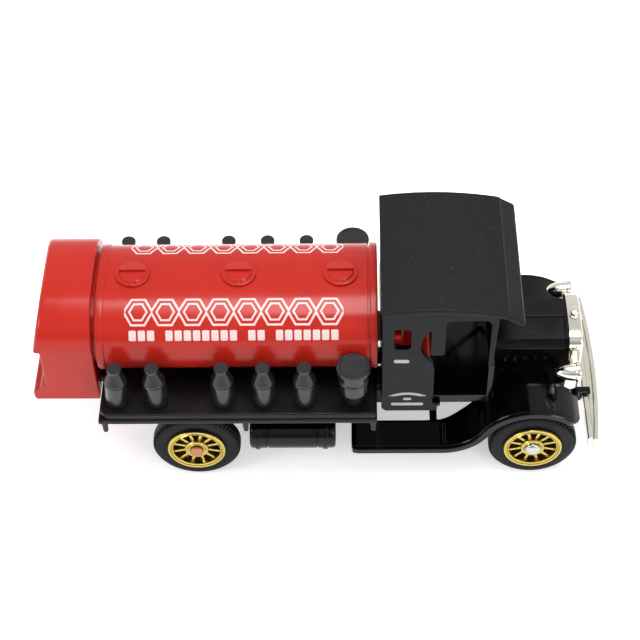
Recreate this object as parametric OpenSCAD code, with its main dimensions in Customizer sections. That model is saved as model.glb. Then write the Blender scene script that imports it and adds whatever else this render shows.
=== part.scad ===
/* [Running gear] */
// Distance between the two axles
wheelbase = 68; // [64:0.5:72]
// Place of the rear axle along the truck, from the middle of its length
rear_axle_x = -25; // [-26:0.5:-24]
// Radius of a tyre, which is also how far the top of it would clear the fender
tyre_r = 8.9; // [8.5:0.1:9.2]
// Width of a tyre
tyre_w = 3.3; // [2.8:0.1:3.6]
// Distance from the middle of the truck to the outer side of a tyre
track_half = 17.75; // [17.4:0.05:18]
// Outer radius of the spoked rim
rim_r = 5.9; // [5.6:0.1:6.2]
// Number of spokes in a hub
spokes = 12; // [8:1:14]
// Radius of the axle wire
axle_r = 0.8; // [0.7:0.05:0.9]
// Radial clearance of a hub on its axle
running_fit = 0.05; // [0.03:0.01:0.08]

/* [Fenders and running boards] */
// Half of the width over the fenders
fender_half = 18.9; // [18.6:0.1:19.4]
// Distance from the middle to the inner edge of a running board
board_inner = 11.3; // [11:0.1:12]
// Height of the running board's top face
board_top = 9.5; // [9:0.1:10]
// Thickness of the fenders and running boards
board_t = 1.4; // [1:0.1:1.6]
// Rear end of the running boards
board_rear_x = 6.4; // [5:0.2:8]
// Radius of the fender's top face about the front axle
fender_r = 11.7; // [11.4:0.1:12]

/* [Deck] */
// Half of the deck's width
deck_half = 21; // [20.5:0.1:22]
// Rear end of the deck
deck_rear_x = -43.3; // [-43.5:0.1:-42.5]
// Front end of the deck
deck_front_x = 11.5; // [11:0.1:11.8]
// Height of the deck's top face
deck_top = 23.4; // [23:0.1:24]

/* [Tank] */
// Rear end of the tank
tank_rear_x = -43.2; // [-43.3:0.1:-42.7]
// Front end of the tank
tank_front_x = 11.7; // [11.2:0.1:11.8]
// Half of the tank's width
tank_half = 13.5; // [13:0.1:13.8]
// Height of the tank's middle
tank_mid_z = 31.2; // [30.8:0.1:31.6]
// Distance from the tank's middle up to its crown
tank_rise = 10.3; // [9.8:0.1:10.6]
// Radius of the moulded hatch rings on the crown
hatch_r = 3.4; // [3:0.1:3.8]

/* [Cargo] */
// Radius of an oil can's body
can_r = 2.24; // [2:0.02:2.4]
// Distance from the middle of the truck to the row of cans
can_row = 17.1; // [17:0.05:17.3]
// Height over all of a can that stands on the deck
can_h = 10.1; // [9.5:0.1:11]
// Radius of the lid on a drum
drum_r = 3.37; // [3:0.05:3.5]

/* [Cab] */
// Rear wall of the cab
cab_rear_x = 12.4; // [12.2:0.1:12.8]
// Front of the cab at the pillars
cab_front_x = 34.4; // [34.2:0.1:35]
// Half of the cab's width
cab_half = 15.4; // [15:0.1:15.6]
// Wall thickness of the cab
cab_wall = 1.2; // [1:0.1:1.4]
// Half of the roof's width
roof_half = 16; // [15.8:0.1:16.6]
// Height of the roof's crown
roof_top = 48.1; // [47:0.1:49]

/* [Hood and front end] */
// Front end of the hood
hood_front_x = 49.8; // [49:0.1:50]
// Half of the hood's width
hood_half = 6.5; // [6.2:0.1:7]
// Height of the hood's centre hinge
hood_top = 28.5; // [28:0.1:29]
// Distance from the middle to a headlamp
lamp_y = 11; // [10.6:0.1:11.5]
// Height of a headlamp's middle
lamp_z = 24.2; // [23.8:0.1:24.6]
// Half of the bumper's length
bumper_half = 19.6; // [19:0.1:20]

/* [Hidden] */
$fn = 48;
SIDES = [["right", -1], ["left", 1]];
small = 0.01;
front_axle_x = rear_axle_x + wheelbase;
axle_z = tyre_r;

// Frame
rail_out = 6;
rail_in = 4.4;
rail_bottom = 8.5;
rail_top = 12.5;
frame_rear_x = -42;
horn_rear_x = 46;
horn_x = 52.5;
horn_y = 7;
horn_r = 1.15;
horn_z = 12.2;
clip_half = 0.8;
clip_front_x = 55.2;
clip_t = 0.8;
bearing_r = 2.2;
bearing_end = 13.2;
press_hole = 0.02;
rivet_x = [-14, 30];
rivet_r = 0.8;
rivet_head_r = 1.7;
rivet_head_t = 0.6;

// Fender profile
fender_front_angle = 40;
sweep_r = 9;
sweep_rise = board_top + sweep_r - axle_z;
sweep_run = sqrt(pow(fender_r + sweep_r, 2) - pow(sweep_rise, 2));
sweep_x = front_axle_x - sweep_run;
sweep_angle = atan2(sweep_rise, sweep_run);
apron_r = 10;
apron_t = 1.2;
apron_front_angle = 49;
arch_rear_angle = 140;

// Base plate
plate_half = 4.2;
plate_bottom = 6.2;
plate_rear_x = -33;
plate_front_x = 47;

// Hub
hub_face = track_half + 0.7;
hub_back = 13.9;
seat_r = 5.2;
boss_r = 2.4;
spoke_w = 0.75;
head_r = 1.62;
head_gap = 0.1;

// Deck
slab_z = 20.8;
slab_t = 1.1;
lip_inset = 0.3;
stake_x = [-42.2, -14.4, 10.8];
peg_r = 0.8;
peg_h = 1.6;
can_shoulder_z = 6.7;
can_neck_r = 1.15;
can_cap_r = 1.45;
can_cap_z = 9.25;

// Tank and cabinet
shell_wall = 1.2;
crown_power = 2.6;
belly_drop = 8.4;
belly_power = 2;
rim_proud = 0.2;
rim_w = 1.7;
groove_x = tank_front_x - 1.9;
crown_z = tank_mid_z + tank_rise;
hatch_x = [-36.2, -15.4, 4.5];
hatch_collar = 0.45;
hatch_lid_r = 2.6;
hatch_lid = 0.85;
hatch_wedge = 1.4;
hatch_root_z = 36;
cabinet_front_x = -43.8;
hood_grow = 0.7;
hood_power = 2.8;
drip_z = 34.3;
cabinet_half = 13.3;
cabinet_bottom = 19.2;
ledge_x = -57;

// Cab
roof_t = 1.4;
roof_mid_x = 22.5;
roof_arch_r = 62;
visor_x = 36.2;
visor_tip_x = 39.3;
visor_tip_z = 44.2;
panel_bottom = 17.6;
panel_front_x = 22.45;
floor_bottom = 19;
floor_top = 21;
sill_half = 14.2;
cowl_top = 31.3;
firewall_x = cab_front_x - cab_wall;
column_tilt = 38;
column_y = 6.5;

// Bumper
bumper_rear_x = 53.7;
bumper_plate_t = 1.2;
bumper_bottom = 10.1;
bumper_top = 13;
bow_r = 160;
bow_front_x = 57;
bow_t = 1.1;
web_bottom = 10.5;
web_top = 12.2;

function arc(cx, cy, r, from, to, steps) =
    [for (i = [0:steps]) let (a = from + (to - from) * i / steps) [cx + r * cos(a), cy + r * sin(a)]];
function power(v, e) = sign(v) * pow(abs(v), e);
// A loaf section about a middle height, with a rise and a squareness above it and others below it
function loaf(half, mid, up, down, steps = 72) =
    [for (i = [0:steps - 1]) let (t = 360 * i / steps, lobe = t > 180 ? down : up, e = 2 / lobe[1])
        [half * power(cos(t), e), mid + lobe[0] * power(sin(t), e)]];
function roof_z(x) = roof_top - roof_arch_r + sqrt(pow(roof_arch_r, 2) - pow(x - roof_mid_x, 2));
function roof_line(from, to, drop, steps = 10) =
    [for (i = [0:steps]) let (x = from + (to - from) * i / steps) [x, roof_z(x) - drop]];
function reversed(list) = [for (i = [len(list) - 1:-1:0]) list[i]];

// Stands a drawing in X and Z up between two places along Y
module across(y0, y1) {
    translate([0, y1, 0]) rotate([90, 0, 0]) linear_extrude(y1 - y0) children();
}
// Stands a drawing in Y and Z up between two places along X
module along(x0, x1) {
    translate([x0, 0, 0]) rotate([90, 0, 90]) linear_extrude(x1 - x0) children();
}
// A box between two corners
module block(low, high) {
    translate(low) cube(high - low);
}
// A round bar across the truck
module bar_y(x, z, r, y0, y1) {
    translate([x, y1, z]) rotate([90, 0, 0]) cylinder(r = r, h = y1 - y0);
}
// A round bar along the truck
module bar_x(y, z, r, x0, x1) {
    translate([x0, y, z]) rotate([0, 90, 0]) cylinder(r = r, h = x1 - x0);
}
// Both sides of the truck
module both_sides() {
    children();
    mirror([0, 1, 0]) children();
}

// ---- Castings under the truck ----
module fender_band(r, t) {
    outer = concat([[board_rear_x, board_top]],
                   arc(sweep_x, board_top + sweep_r, sweep_r, -90, -sweep_angle, 8),
                   arc(front_axle_x, axle_z, r, 180 - sweep_angle, fender_front_angle, 28));
    inner = concat([[board_rear_x, board_top - t]],
                   arc(sweep_x, board_top + sweep_r, sweep_r + t, -90, -sweep_angle, 8),
                   arc(front_axle_x, axle_z, r - t, 180 - sweep_angle, fender_front_angle, 28));
    polygon(concat(outer, reversed(inner)));
}
module arch_band(r_out, r_in, from, to) {
    polygon(concat(arc(front_axle_x, axle_z, r_out, from, to, 24),
                   arc(front_axle_x, axle_z, r_in, to, from, 24)));
}
module chassis_side() {
    block([frame_rear_x, -rail_out, rail_bottom], [horn_x, -rail_in, rail_top]);
    across(-fender_half, -board_inner) fender_band(fender_r, board_t);
    across(-board_inner - small, -board_inner + 1)
        arch_band(fender_r, apron_r - apron_t, apron_front_angle, arch_rear_angle);
    across(-board_inner + 1 - small, -rail_in)
        arch_band(apron_r, apron_r - apron_t, apron_front_angle, arch_rear_angle);
    for (x = [board_rear_x + 1.6, panel_front_x])
        block([x, -board_inner - 1, rail_bottom], [x + 1.5, -rail_out + small, board_top - 0.2]);
    for (x = [rear_axle_x, front_axle_x]) bar_y(x, axle_z, bearing_r, -bearing_end, -rail_in);
    // Frame horn, with the clip that lies over the bumper
    block([horn_rear_x, -horn_y - 1, rail_bottom + 1.5], [horn_x, -rail_out + small, rail_top]);
    bar_y(horn_x, horn_z, horn_r, -horn_y - 1, -horn_y + 1);
    block([horn_x, -horn_y - clip_half, horn_z], [bumper_rear_x, -horn_y + clip_half, bumper_top + clip_t]);
    block([bumper_rear_x - small, -horn_y - clip_half, bumper_top],
          [clip_front_x, -horn_y + clip_half, bumper_top + clip_t]);
}
module chassis_casting() {
    color("#17171a") difference() {
        union() {
            both_sides() chassis_side();
            for (x = [frame_rear_x, -16, 12.5, 28, 47])
                block([x, -rail_in - small, rail_bottom], [x + 4, rail_in + small, rail_top]);
            for (x = [-40, -14, 5]) block([x, -rail_out, rail_top - small], [x + 4, rail_out, slab_z]);
        }
        for (x = [rear_axle_x, front_axle_x]) bar_y(x, axle_z, axle_r + press_hole, -20, 20);
        for (x = rivet_x) translate([x, 0, 0]) cylinder(r = rivet_r + press_hole, h = 11);
    }
}
module base_plate() {
    color("#202024") difference() {
        block([plate_rear_x, -plate_half, plate_bottom], [plate_front_x, plate_half, rail_bottom]);
        for (x = [rear_axle_x, front_axle_x]) bar_y(x, axle_z, 1.1, -20, 20);
        for (x = rivet_x) translate([x, 0, 0]) {
            cylinder(r = rivet_r + press_hole, h = 11);
            translate([0, 0, plate_bottom - 1]) cylinder(r = rivet_head_r + press_hole, h = 1 + rivet_head_t);
        }
    }
}
module base_rivets() {
    color("#b9bcc0") for (x = rivet_x) translate([x, 0, plate_bottom]) {
        cylinder(r = rivet_head_r, h = rivet_head_t);
        cylinder(r = rivet_r, h = 4.6);
    }
}

// ---- Wheels ----
module axle(x) {
    color("#c9ccd0") {
        bar_y(x, axle_z, axle_r, -hub_face, hub_face);
        both_sides() translate([x, -hub_face - head_gap, axle_z]) rotate([90, 0, 0])
            intersection() {
                translate([0, 0, -1.9]) sphere(r = 2.7, $fn = 64);
                cylinder(r = head_r, h = 2);
            }
        both_sides() bar_y(x, axle_z, axle_r, -hub_face - head_gap - 0.3, -hub_face + small);
    }
}
// A hub or a tyre drawn about the Z axis with its outer face up is put on the truck
module at_wheel(x, side) {
    translate([x, 0, axle_z]) rotate([side > 0 ? -90 : 90, 0, 0]) children();
}
module hub(x, side) {
    color("#d8b24a") at_wheel(x, side) difference() {
        union() {
            rotate_extrude() polygon([[4.7, hub_back], [5.6, hub_back], [5.6, hub_back + 0.5],
                [seat_r, hub_back + 0.5], [seat_r, track_half], [rim_r, track_half],
                [rim_r, hub_face - 0.15], [rim_r - 0.2, hub_face], [5.05, hub_face], [4.7, hub_face - 0.5]]);
            for (i = [0:spokes - 1]) rotate([0, 0, 360 / spokes * (i + 0.5)])
                translate([boss_r - 0.3, -spoke_w / 2, 16.6]) cube([5 - boss_r, spoke_w, 1.2]);
            translate([0, 0, 13.5]) cylinder(r = 1.8, h = hub_face - 13.5);
            translate([0, 0, 16.3]) cylinder(r = boss_r, h = hub_face - 16.3);
        }
        translate([0, 0, 13]) cylinder(r = axle_r + running_fit, h = 7);
    }
}
module tyre(x, side) {
    inner = track_half - tyre_w;
    color("#1c1c1e") at_wheel(x, side) rotate_extrude($fn = 96) polygon([
        [seat_r + small, inner], [tyre_r - 0.7, inner], [tyre_r - 0.2, inner + 0.35], [tyre_r, inner + 0.9],
        [tyre_r, track_half - 0.9], [tyre_r - 0.2, track_half - 0.35], [tyre_r - 0.7, track_half],
        [rim_r, track_half], [rim_r, track_half - small], [seat_r + small, track_half - small]]);
}

// ---- Hood, radiator and bumper ----
function hood_section(in) = [[-hood_half + in, 15.5 - 0.01 * in], [-hood_half + in, 26.1 - in],
    [-5.6 + in, 27.8 - in], [0, hood_top - in], [5.6 - in, 27.8 - in], [hood_half - in, 26.1 - in],
    [hood_half - in, 15.5 - 0.01 * in]];
module hood_cowl() {
    color("#141416") {
        difference() {
            along(cab_front_x - small, hood_front_x) polygon(hood_section(0));
            along(cab_front_x + 1, hood_front_x - 1.2) polygon(hood_section(1.2));
            across(-20, 20) arch_opening();
        }
        difference() {
            block([firewall_x, -sill_half, floor_bottom], [cab_front_x, sill_half, cowl_top]);
            across(-20, 20) arch_opening();
        }
        block([cab_rear_x + cab_wall, -sill_half, floor_bottom], [cab_front_x - 1, sill_half, floor_top]);
        block([14, -rail_out, rail_top], [31, rail_out, floor_bottom + small]);
    }
}
// Room that the apron of the fenders takes under the hood
module arch_opening() {
    translate([front_axle_x, axle_z]) circle(r = apron_r + 0.03, $fn = 192);
}
module radiator_outline(half, top) {
    polygon(concat([[-half, 14], [half, 14]],
                   arc(half - 2.2, top - 2.9, 2.2, 0, 75, 6),
                   arc(-half + 2.2, top - 2.9, 2.2, 105, 180, 6)));
}
module radiator_and_lamps() {
    color("#dfe1e4") {
        difference() {
            along(hood_front_x, hood_front_x + 2.7) radiator_outline(7, 29.4);
            along(hood_front_x + 1.9, hood_front_x + 3) radiator_outline(5.8, 27.4);
        }
        translate([hood_front_x + 1.4, 0, 28]) cylinder(r = 0.9, h = 1.6);
        both_sides() {
            bar_y(hood_front_x + 0.9, lamp_z - 1.2, 0.55, -lamp_y, -6.5);
            translate([hood_front_x + 2, -lamp_y, lamp_z]) rotate([0, -90, 0])
                rotate_extrude() polygon(concat([[0, 0], [1.95, 0], [1.95, 1]],
                    [for (i = [0:8]) [1.75 * cos(90 * i / 8), 1.2 + 3.7 * sin(90 * i / 8)]]));
        }
    }
}
module bumper() {
    plate_x = bumper_rear_x + bumper_plate_t;
    plate_half = bumper_half - 0.4;
    color("#dfe1e4") {
        block([bumper_rear_x, -plate_half, bumper_bottom], [plate_x, plate_half, bumper_top]);
        intersection() {
            translate([bow_front_x - bow_r, 0, bumper_bottom]) difference() {
                cylinder(r = bow_r, h = bumper_top - bumper_bottom, $fn = 360);
                translate([0, 0, -1]) cylinder(r = bow_r - bow_t, h = 5, $fn = 360);
            }
            block([plate_x - 0.9, -bumper_half, bumper_bottom - 1],
                  [bow_front_x + 1, bumper_half, bumper_top + 1]);
        }
        // Web that joins the plate and the bowed band
        block([plate_x - small, -plate_half, web_bottom], [plate_x + 0.3, plate_half, web_top]);
        block([plate_x + 0.2, -14, web_bottom], [plate_x + 1.3, 14, web_top]);
    }
}

// ---- Cab ----
module side_drawing() {
    difference() {
        polygon(concat([[cab_rear_x, panel_bottom + 0.8], [cab_rear_x + 0.8, panel_bottom],
                        [23.5, panel_bottom], [23.5, 19.4], [panel_front_x, 20.2],
                        [panel_front_x, 31.4]],
                       arc(26, 37.2, 6.1, -127, -220, 12),
                       [[21.7, 41.5], [21.7, 34.5], [24.5, 34.5], [24.6, 43.6], [25.2, 44.3],
                        [32.2, 44.4], [33.1, 43.6], [32.9, cowl_top], [33.9, cowl_top]],
                       reversed(roof_line(cab_rear_x, cab_front_x, roof_t))));
        translate([14.7, 36.4]) square([3.2, 5.6]);
    }
}
module cab_shell() {
    color("#2a2a2e") {
        both_sides() across(-cab_half, -cab_half + cab_wall) side_drawing();
        inside = cab_half - cab_wall + small;
        block([cab_rear_x, -inside, panel_bottom + 0.8],
              [cab_rear_x + cab_wall, inside, roof_z(cab_rear_x) - roof_t]);
        // Windscreen header between the two pillars
        block([33.3, -inside, 43.6], [cab_front_x - 0.2, inside, roof_z(cab_front_x) - roof_t]);
    }
}
module cab_roof() {
    color("#26262a") across(-roof_half, roof_half) polygon(concat(
        roof_line(cab_rear_x, cab_front_x, roof_t), roof_line(cab_front_x, visor_x, roof_t, 1),
        [[visor_tip_x - 0.4, visor_tip_z - 1], [visor_tip_x, visor_tip_z]],
        reversed(roof_line(cab_rear_x - 0.2, visor_x, 0, 12)),
        [[cab_rear_x - 0.2, roof_z(cab_rear_x - 0.2) - 0.6]]));
}
module seat() {
    color("#c8281c") {
        block([13.8, -13.4, 24], [22, 13.4, 30.5]);
        block([13.8, -13.4, 30.5 - small], [16.6, 13.4, 38]);
        block([14.4, -12, floor_top], [21, 12, 24 + small]);
    }
}
module steering_wheel() {
    ring_r = 2.9;
    ring_z = 9;
    color("#2a2a2e") difference() {
        translate([32.4, column_y, 25.4]) rotate([0, -column_tilt, 0]) {
            translate([0, 0, -2.4]) cylinder(r = 0.5, h = ring_z + 2.6);
            translate([0, 0, ring_z]) rotate_extrude() translate([ring_r, 0]) circle(r = 0.4, $fn = 24);
            translate([0, 0, ring_z - 0.2]) cylinder(r = 0.9, h = 0.5);
            for (a = [0:120:240]) rotate([0, 0, a])
                translate([0.5, -0.25, ring_z - 0.15]) cube([ring_r - 0.7, 0.5, 0.35]);
        }
        block([firewall_x, column_y - 2, floor_bottom], [firewall_x + 4, column_y + 2, cowl_top]);
    }
}

// ---- Deck and cargo ----
function can_x(i) = [-39.6, -31.7, -18.6, -10.6, -2.6][i];
drum_x = 6.9;
module deck() {
    color("#232327") difference() {
        union() {
            block([deck_rear_x, -deck_half, slab_z], [deck_front_x, deck_half, slab_z + slab_t]);
            translate([0, 0, slab_z + slab_t - small]) linear_extrude(deck_top - slab_z - slab_t + small)
                difference() {
                    translate([deck_rear_x + lip_inset, -deck_half + lip_inset])
                        square([deck_front_x - deck_rear_x - 2 * lip_inset, 2 * (deck_half - lip_inset)]);
                    both_sides() translate([deck_rear_x + lip_inset, -deck_half + lip_inset]) difference() {
                        translate([-1, -1]) square(3);
                        translate([2, 2]) circle(r = 2);
                    }
                }
            block([cabinet_front_x, -10, slab_z], [deck_rear_x + small, 10, deck_top - 0.4]);
            both_sides() for (x = stake_x) translate([x, -deck_half + 0.75, slab_z - 2.8])
                cylinder(r1 = 0.5, r2 = 0.7, h = 2.8 + small);
        }
        both_sides() {
            for (i = [0:4]) translate([can_x(i), -can_row, deck_top - peg_h - 0.1])
                cylinder(r = peg_r + press_hole, h = 3);
            translate([drum_x, -can_row, deck_top - peg_h - 0.1]) cylinder(r = peg_r + press_hole, h = 3);
        }
    }
}
module can(i, side) {
    color("#26262a") translate([can_x(i), side * can_row, deck_top]) {
        rotate_extrude() polygon([[0, 0], [can_r - 0.1, 0], [can_r, 0.2], [can_r, 5.9], [can_r - 0.12, 6.02],
            [can_r - 0.12, 6.2], [can_r, 6.32], [can_r - 0.08, can_shoulder_z], [can_neck_r, can_cap_z - 0.3],
            [can_neck_r, can_cap_z], [can_cap_r, can_cap_z + 0.1], [can_cap_r, can_h - 0.2],
            [can_cap_r - 0.25, can_h], [0, can_h]]);
        translate([0, 0, -peg_h]) cylinder(r = peg_r, h = peg_h + small);
    }
}
module drum(side) {
    color("#26262a") translate([drum_x, side * can_row, deck_top]) {
        rotate_extrude() polygon([[0, 0], [1.8, 0], [2.55, 3.4], [2.75, 3.6], [2.75, 6.3], [2.9, 6.4],
            [2.9, 6.8], [2.75, 6.9], [2.75, 9.2], [drum_r, 9.3], [drum_r, 10.1], [drum_r - 0.25, 10.35],
            [0, 10.35]]);
        translate([0, 0, -peg_h]) cylinder(r = peg_r, h = peg_h + small);
    }
}
module tank_outline(grow) {
    intersection() {
        polygon(loaf(tank_half + grow, tank_mid_z, [tank_rise + grow, crown_power],
                     [belly_drop + grow, belly_power]));
        translate([-30, deck_top]) square([60, 40]);
    }
}
module tank_shell() {
    color("#cf2a1e") {
        difference() {
            union() {
                along(tank_rear_x, tank_front_x) tank_outline(0);
                along(tank_rear_x, tank_rear_x + rim_w) tank_outline(rim_proud);
                along(groove_x + 0.5, tank_front_x) tank_outline(rim_proud);
                for (x = hatch_x) translate([x, 0, hatch_root_z])
                    cylinder(r = hatch_r, h = crown_z + hatch_collar - hatch_root_z);
            }
            along(tank_rear_x + shell_wall, tank_front_x - shell_wall) intersection() {
                tank_outline(-shell_wall);
                translate([-30, deck_top + shell_wall]) square([60, 40]);
            }
        }
        // Round lids with a wedge over their left half
        for (x = hatch_x) translate([x, 0, crown_z]) {
            cylinder(r = hatch_lid_r, h = hatch_lid);
            intersection() {
                cylinder(r = hatch_lid_r, h = hatch_wedge);
                along(-hatch_lid_r, hatch_lid_r) polygon([[0, 0], [0, hatch_wedge],
                    [hatch_lid_r, hatch_lid - small], [hatch_lid_r, 0]]);
            }
        }
    }
}
module cabinet_outline(grow) {
    lobe = [tank_rise + 2 * hood_grow + grow, hood_power];
    polygon(loaf(tank_half + hood_grow + grow, tank_mid_z, lobe, lobe));
}
module rear_cabinet() {
    top_z = crown_z + 2 * hood_grow;
    color("#cf2a1e") difference() {
        union() {
            // Arched hood whose rear face leans out to the drip edge
            intersection() {
                along(-60, cabinet_front_x) cabinet_outline(0);
                across(-20, 20) polygon([[cabinet_front_x, drip_z], [cabinet_front_x, 50],
                    [-53.5, top_z], [-55.3, drip_z]]);
            }
            // Body that steps out to a ledge at its foot
            across(-cabinet_half, cabinet_half) polygon([[cabinet_front_x, cabinet_bottom],
                [cabinet_front_x, drip_z + small], [-54.2, drip_z + small], [-54.1, 25.5], [-54.3, 23.8],
                [-55.2, 23.4], [-55.5, 22.3], [-56.8, 22], [ledge_x, 21.4], [ledge_x, 19.8],
                [-56.6, cabinet_bottom]]);
            // Neck that meets the end of the tank
            along(cabinet_front_x - small, tank_rear_x) tank_outline(-1.2);
        }
        along(-52.8, cabinet_front_x - shell_wall) intersection() {
            cabinet_outline(-2.2);
            translate([-cabinet_half + shell_wall, cabinet_bottom + shell_wall])
                square([2 * (cabinet_half - shell_wall), 40]);
        }
    }
}
module fuel_tank(side) {
    y = 14;
    z = 9.7;
    r = 3.6;
    color("#1d1d20") mirror([0, side > 0 ? 1 : 0, 0]) {
        bar_x(-y, z, r, -13.8, 2.8);
        bar_x(-y, z, r - 0.5, -14.2, 3.2);
        for (x = [-13.1, 0.6]) {
            bar_x(-y, z, r + 0.25, x, x + 1);
            block([x, -y + 2, 9], [x + 1, -rail_out, 11.5]);
        }
    }
}

chassis_casting();
base_plate();
base_rivets();
hood_cowl();
radiator_and_lamps();
bumper();
cab_shell();
cab_roof();
seat();
steering_wheel();
deck();
tank_shell();
rear_cabinet();
for (s = SIDES) {
    fuel_tank(s[1]);
    drum(s[1]);
    for (i = [0:4]) can(i, s[1]);
    hub(front_axle_x, s[1]);
    hub(rear_axle_x, s[1]);
    tyre(front_axle_x, s[1]);
    tyre(rear_axle_x, s[1]);
}
axle(front_axle_x);  // axle_front
axle(rear_axle_x);  // axle_rear
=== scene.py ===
"""A die-cast toy tanker truck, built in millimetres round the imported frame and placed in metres."""

import logging
import math
from dataclasses import dataclass
from enum import Enum
from typing import Any, Callable, Sequence

import bmesh
import bpy
from mathutils import Matrix, Vector


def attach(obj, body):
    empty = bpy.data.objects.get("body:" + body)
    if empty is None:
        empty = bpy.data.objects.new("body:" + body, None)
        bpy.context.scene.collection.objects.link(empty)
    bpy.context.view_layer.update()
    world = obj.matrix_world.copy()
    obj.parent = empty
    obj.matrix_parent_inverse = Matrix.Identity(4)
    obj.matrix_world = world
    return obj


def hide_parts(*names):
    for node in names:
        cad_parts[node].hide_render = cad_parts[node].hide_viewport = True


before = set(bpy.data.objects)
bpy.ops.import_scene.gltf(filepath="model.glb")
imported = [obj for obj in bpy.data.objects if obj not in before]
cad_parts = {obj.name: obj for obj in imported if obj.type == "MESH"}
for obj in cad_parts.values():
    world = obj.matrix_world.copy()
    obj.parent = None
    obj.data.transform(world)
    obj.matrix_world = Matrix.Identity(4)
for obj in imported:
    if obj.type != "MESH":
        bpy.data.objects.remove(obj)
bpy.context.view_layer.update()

LOG = logging.getLogger("tanker")
MM = 0.001
TRUCK = "truck"
# Places of the axles, and the distance from the truck's middle to the outer face of a tyre.
AXLES = {"front": 43.0, "rear": -25.0}
AXLE_Z = 8.9
TRACK = 17.75
# Faces that meet more sharply than this, in degrees, show an edge.
CREASE = 32
Point = tuple[float, float]
Place = tuple[float, float, float]
Test = Callable[[Vector], bool]


class Axis(Enum):
    """The direction that a flat drawing is pushed along, or a turned shape turns about."""

    X = Vector((1, 0, 0))
    Y = Vector((0, 1, 0))
    Z = Vector((0, 0, 1))


class Side(Enum):
    """Right is the side of negative Y."""

    RIGHT = -1
    LEFT = 1

    @property
    def word(self) -> str:
        """The side's name as the frame spells it."""
        return self.name.lower()


def arc(centre: Point, radius: float, start: float, end: float, steps: int) -> list[Point]:
    """Points along a circular arc.

    Args:
        centre: Middle of the circle.
        radius: Radius of the circle.
        start: First angle in degrees.
        end: Last angle in degrees.
        steps: Number of chords.

    Returns:
        The steps + 1 points.
    """
    angles = [math.radians(start + (end - start) * i / steps) for i in range(steps + 1)]
    return [(centre[0] + radius * math.cos(a), centre[1] + radius * math.sin(a)) for a in angles]


def lay(axis: Axis, along: float, flat: Point) -> Vector:
    """A point of a flat drawing stood across an axis.

    Args:
        axis: The axis across which the drawing stands.
        along: Its place along that axis.
        flat: The two other coordinates, in the order X, Y, Z.

    Returns:
        The point in the truck's frame.
    """
    a, b = flat
    return Vector({Axis.X: (along, a, b), Axis.Y: (a, along, b), Axis.Z: (a, b, along)}[axis])


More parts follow.
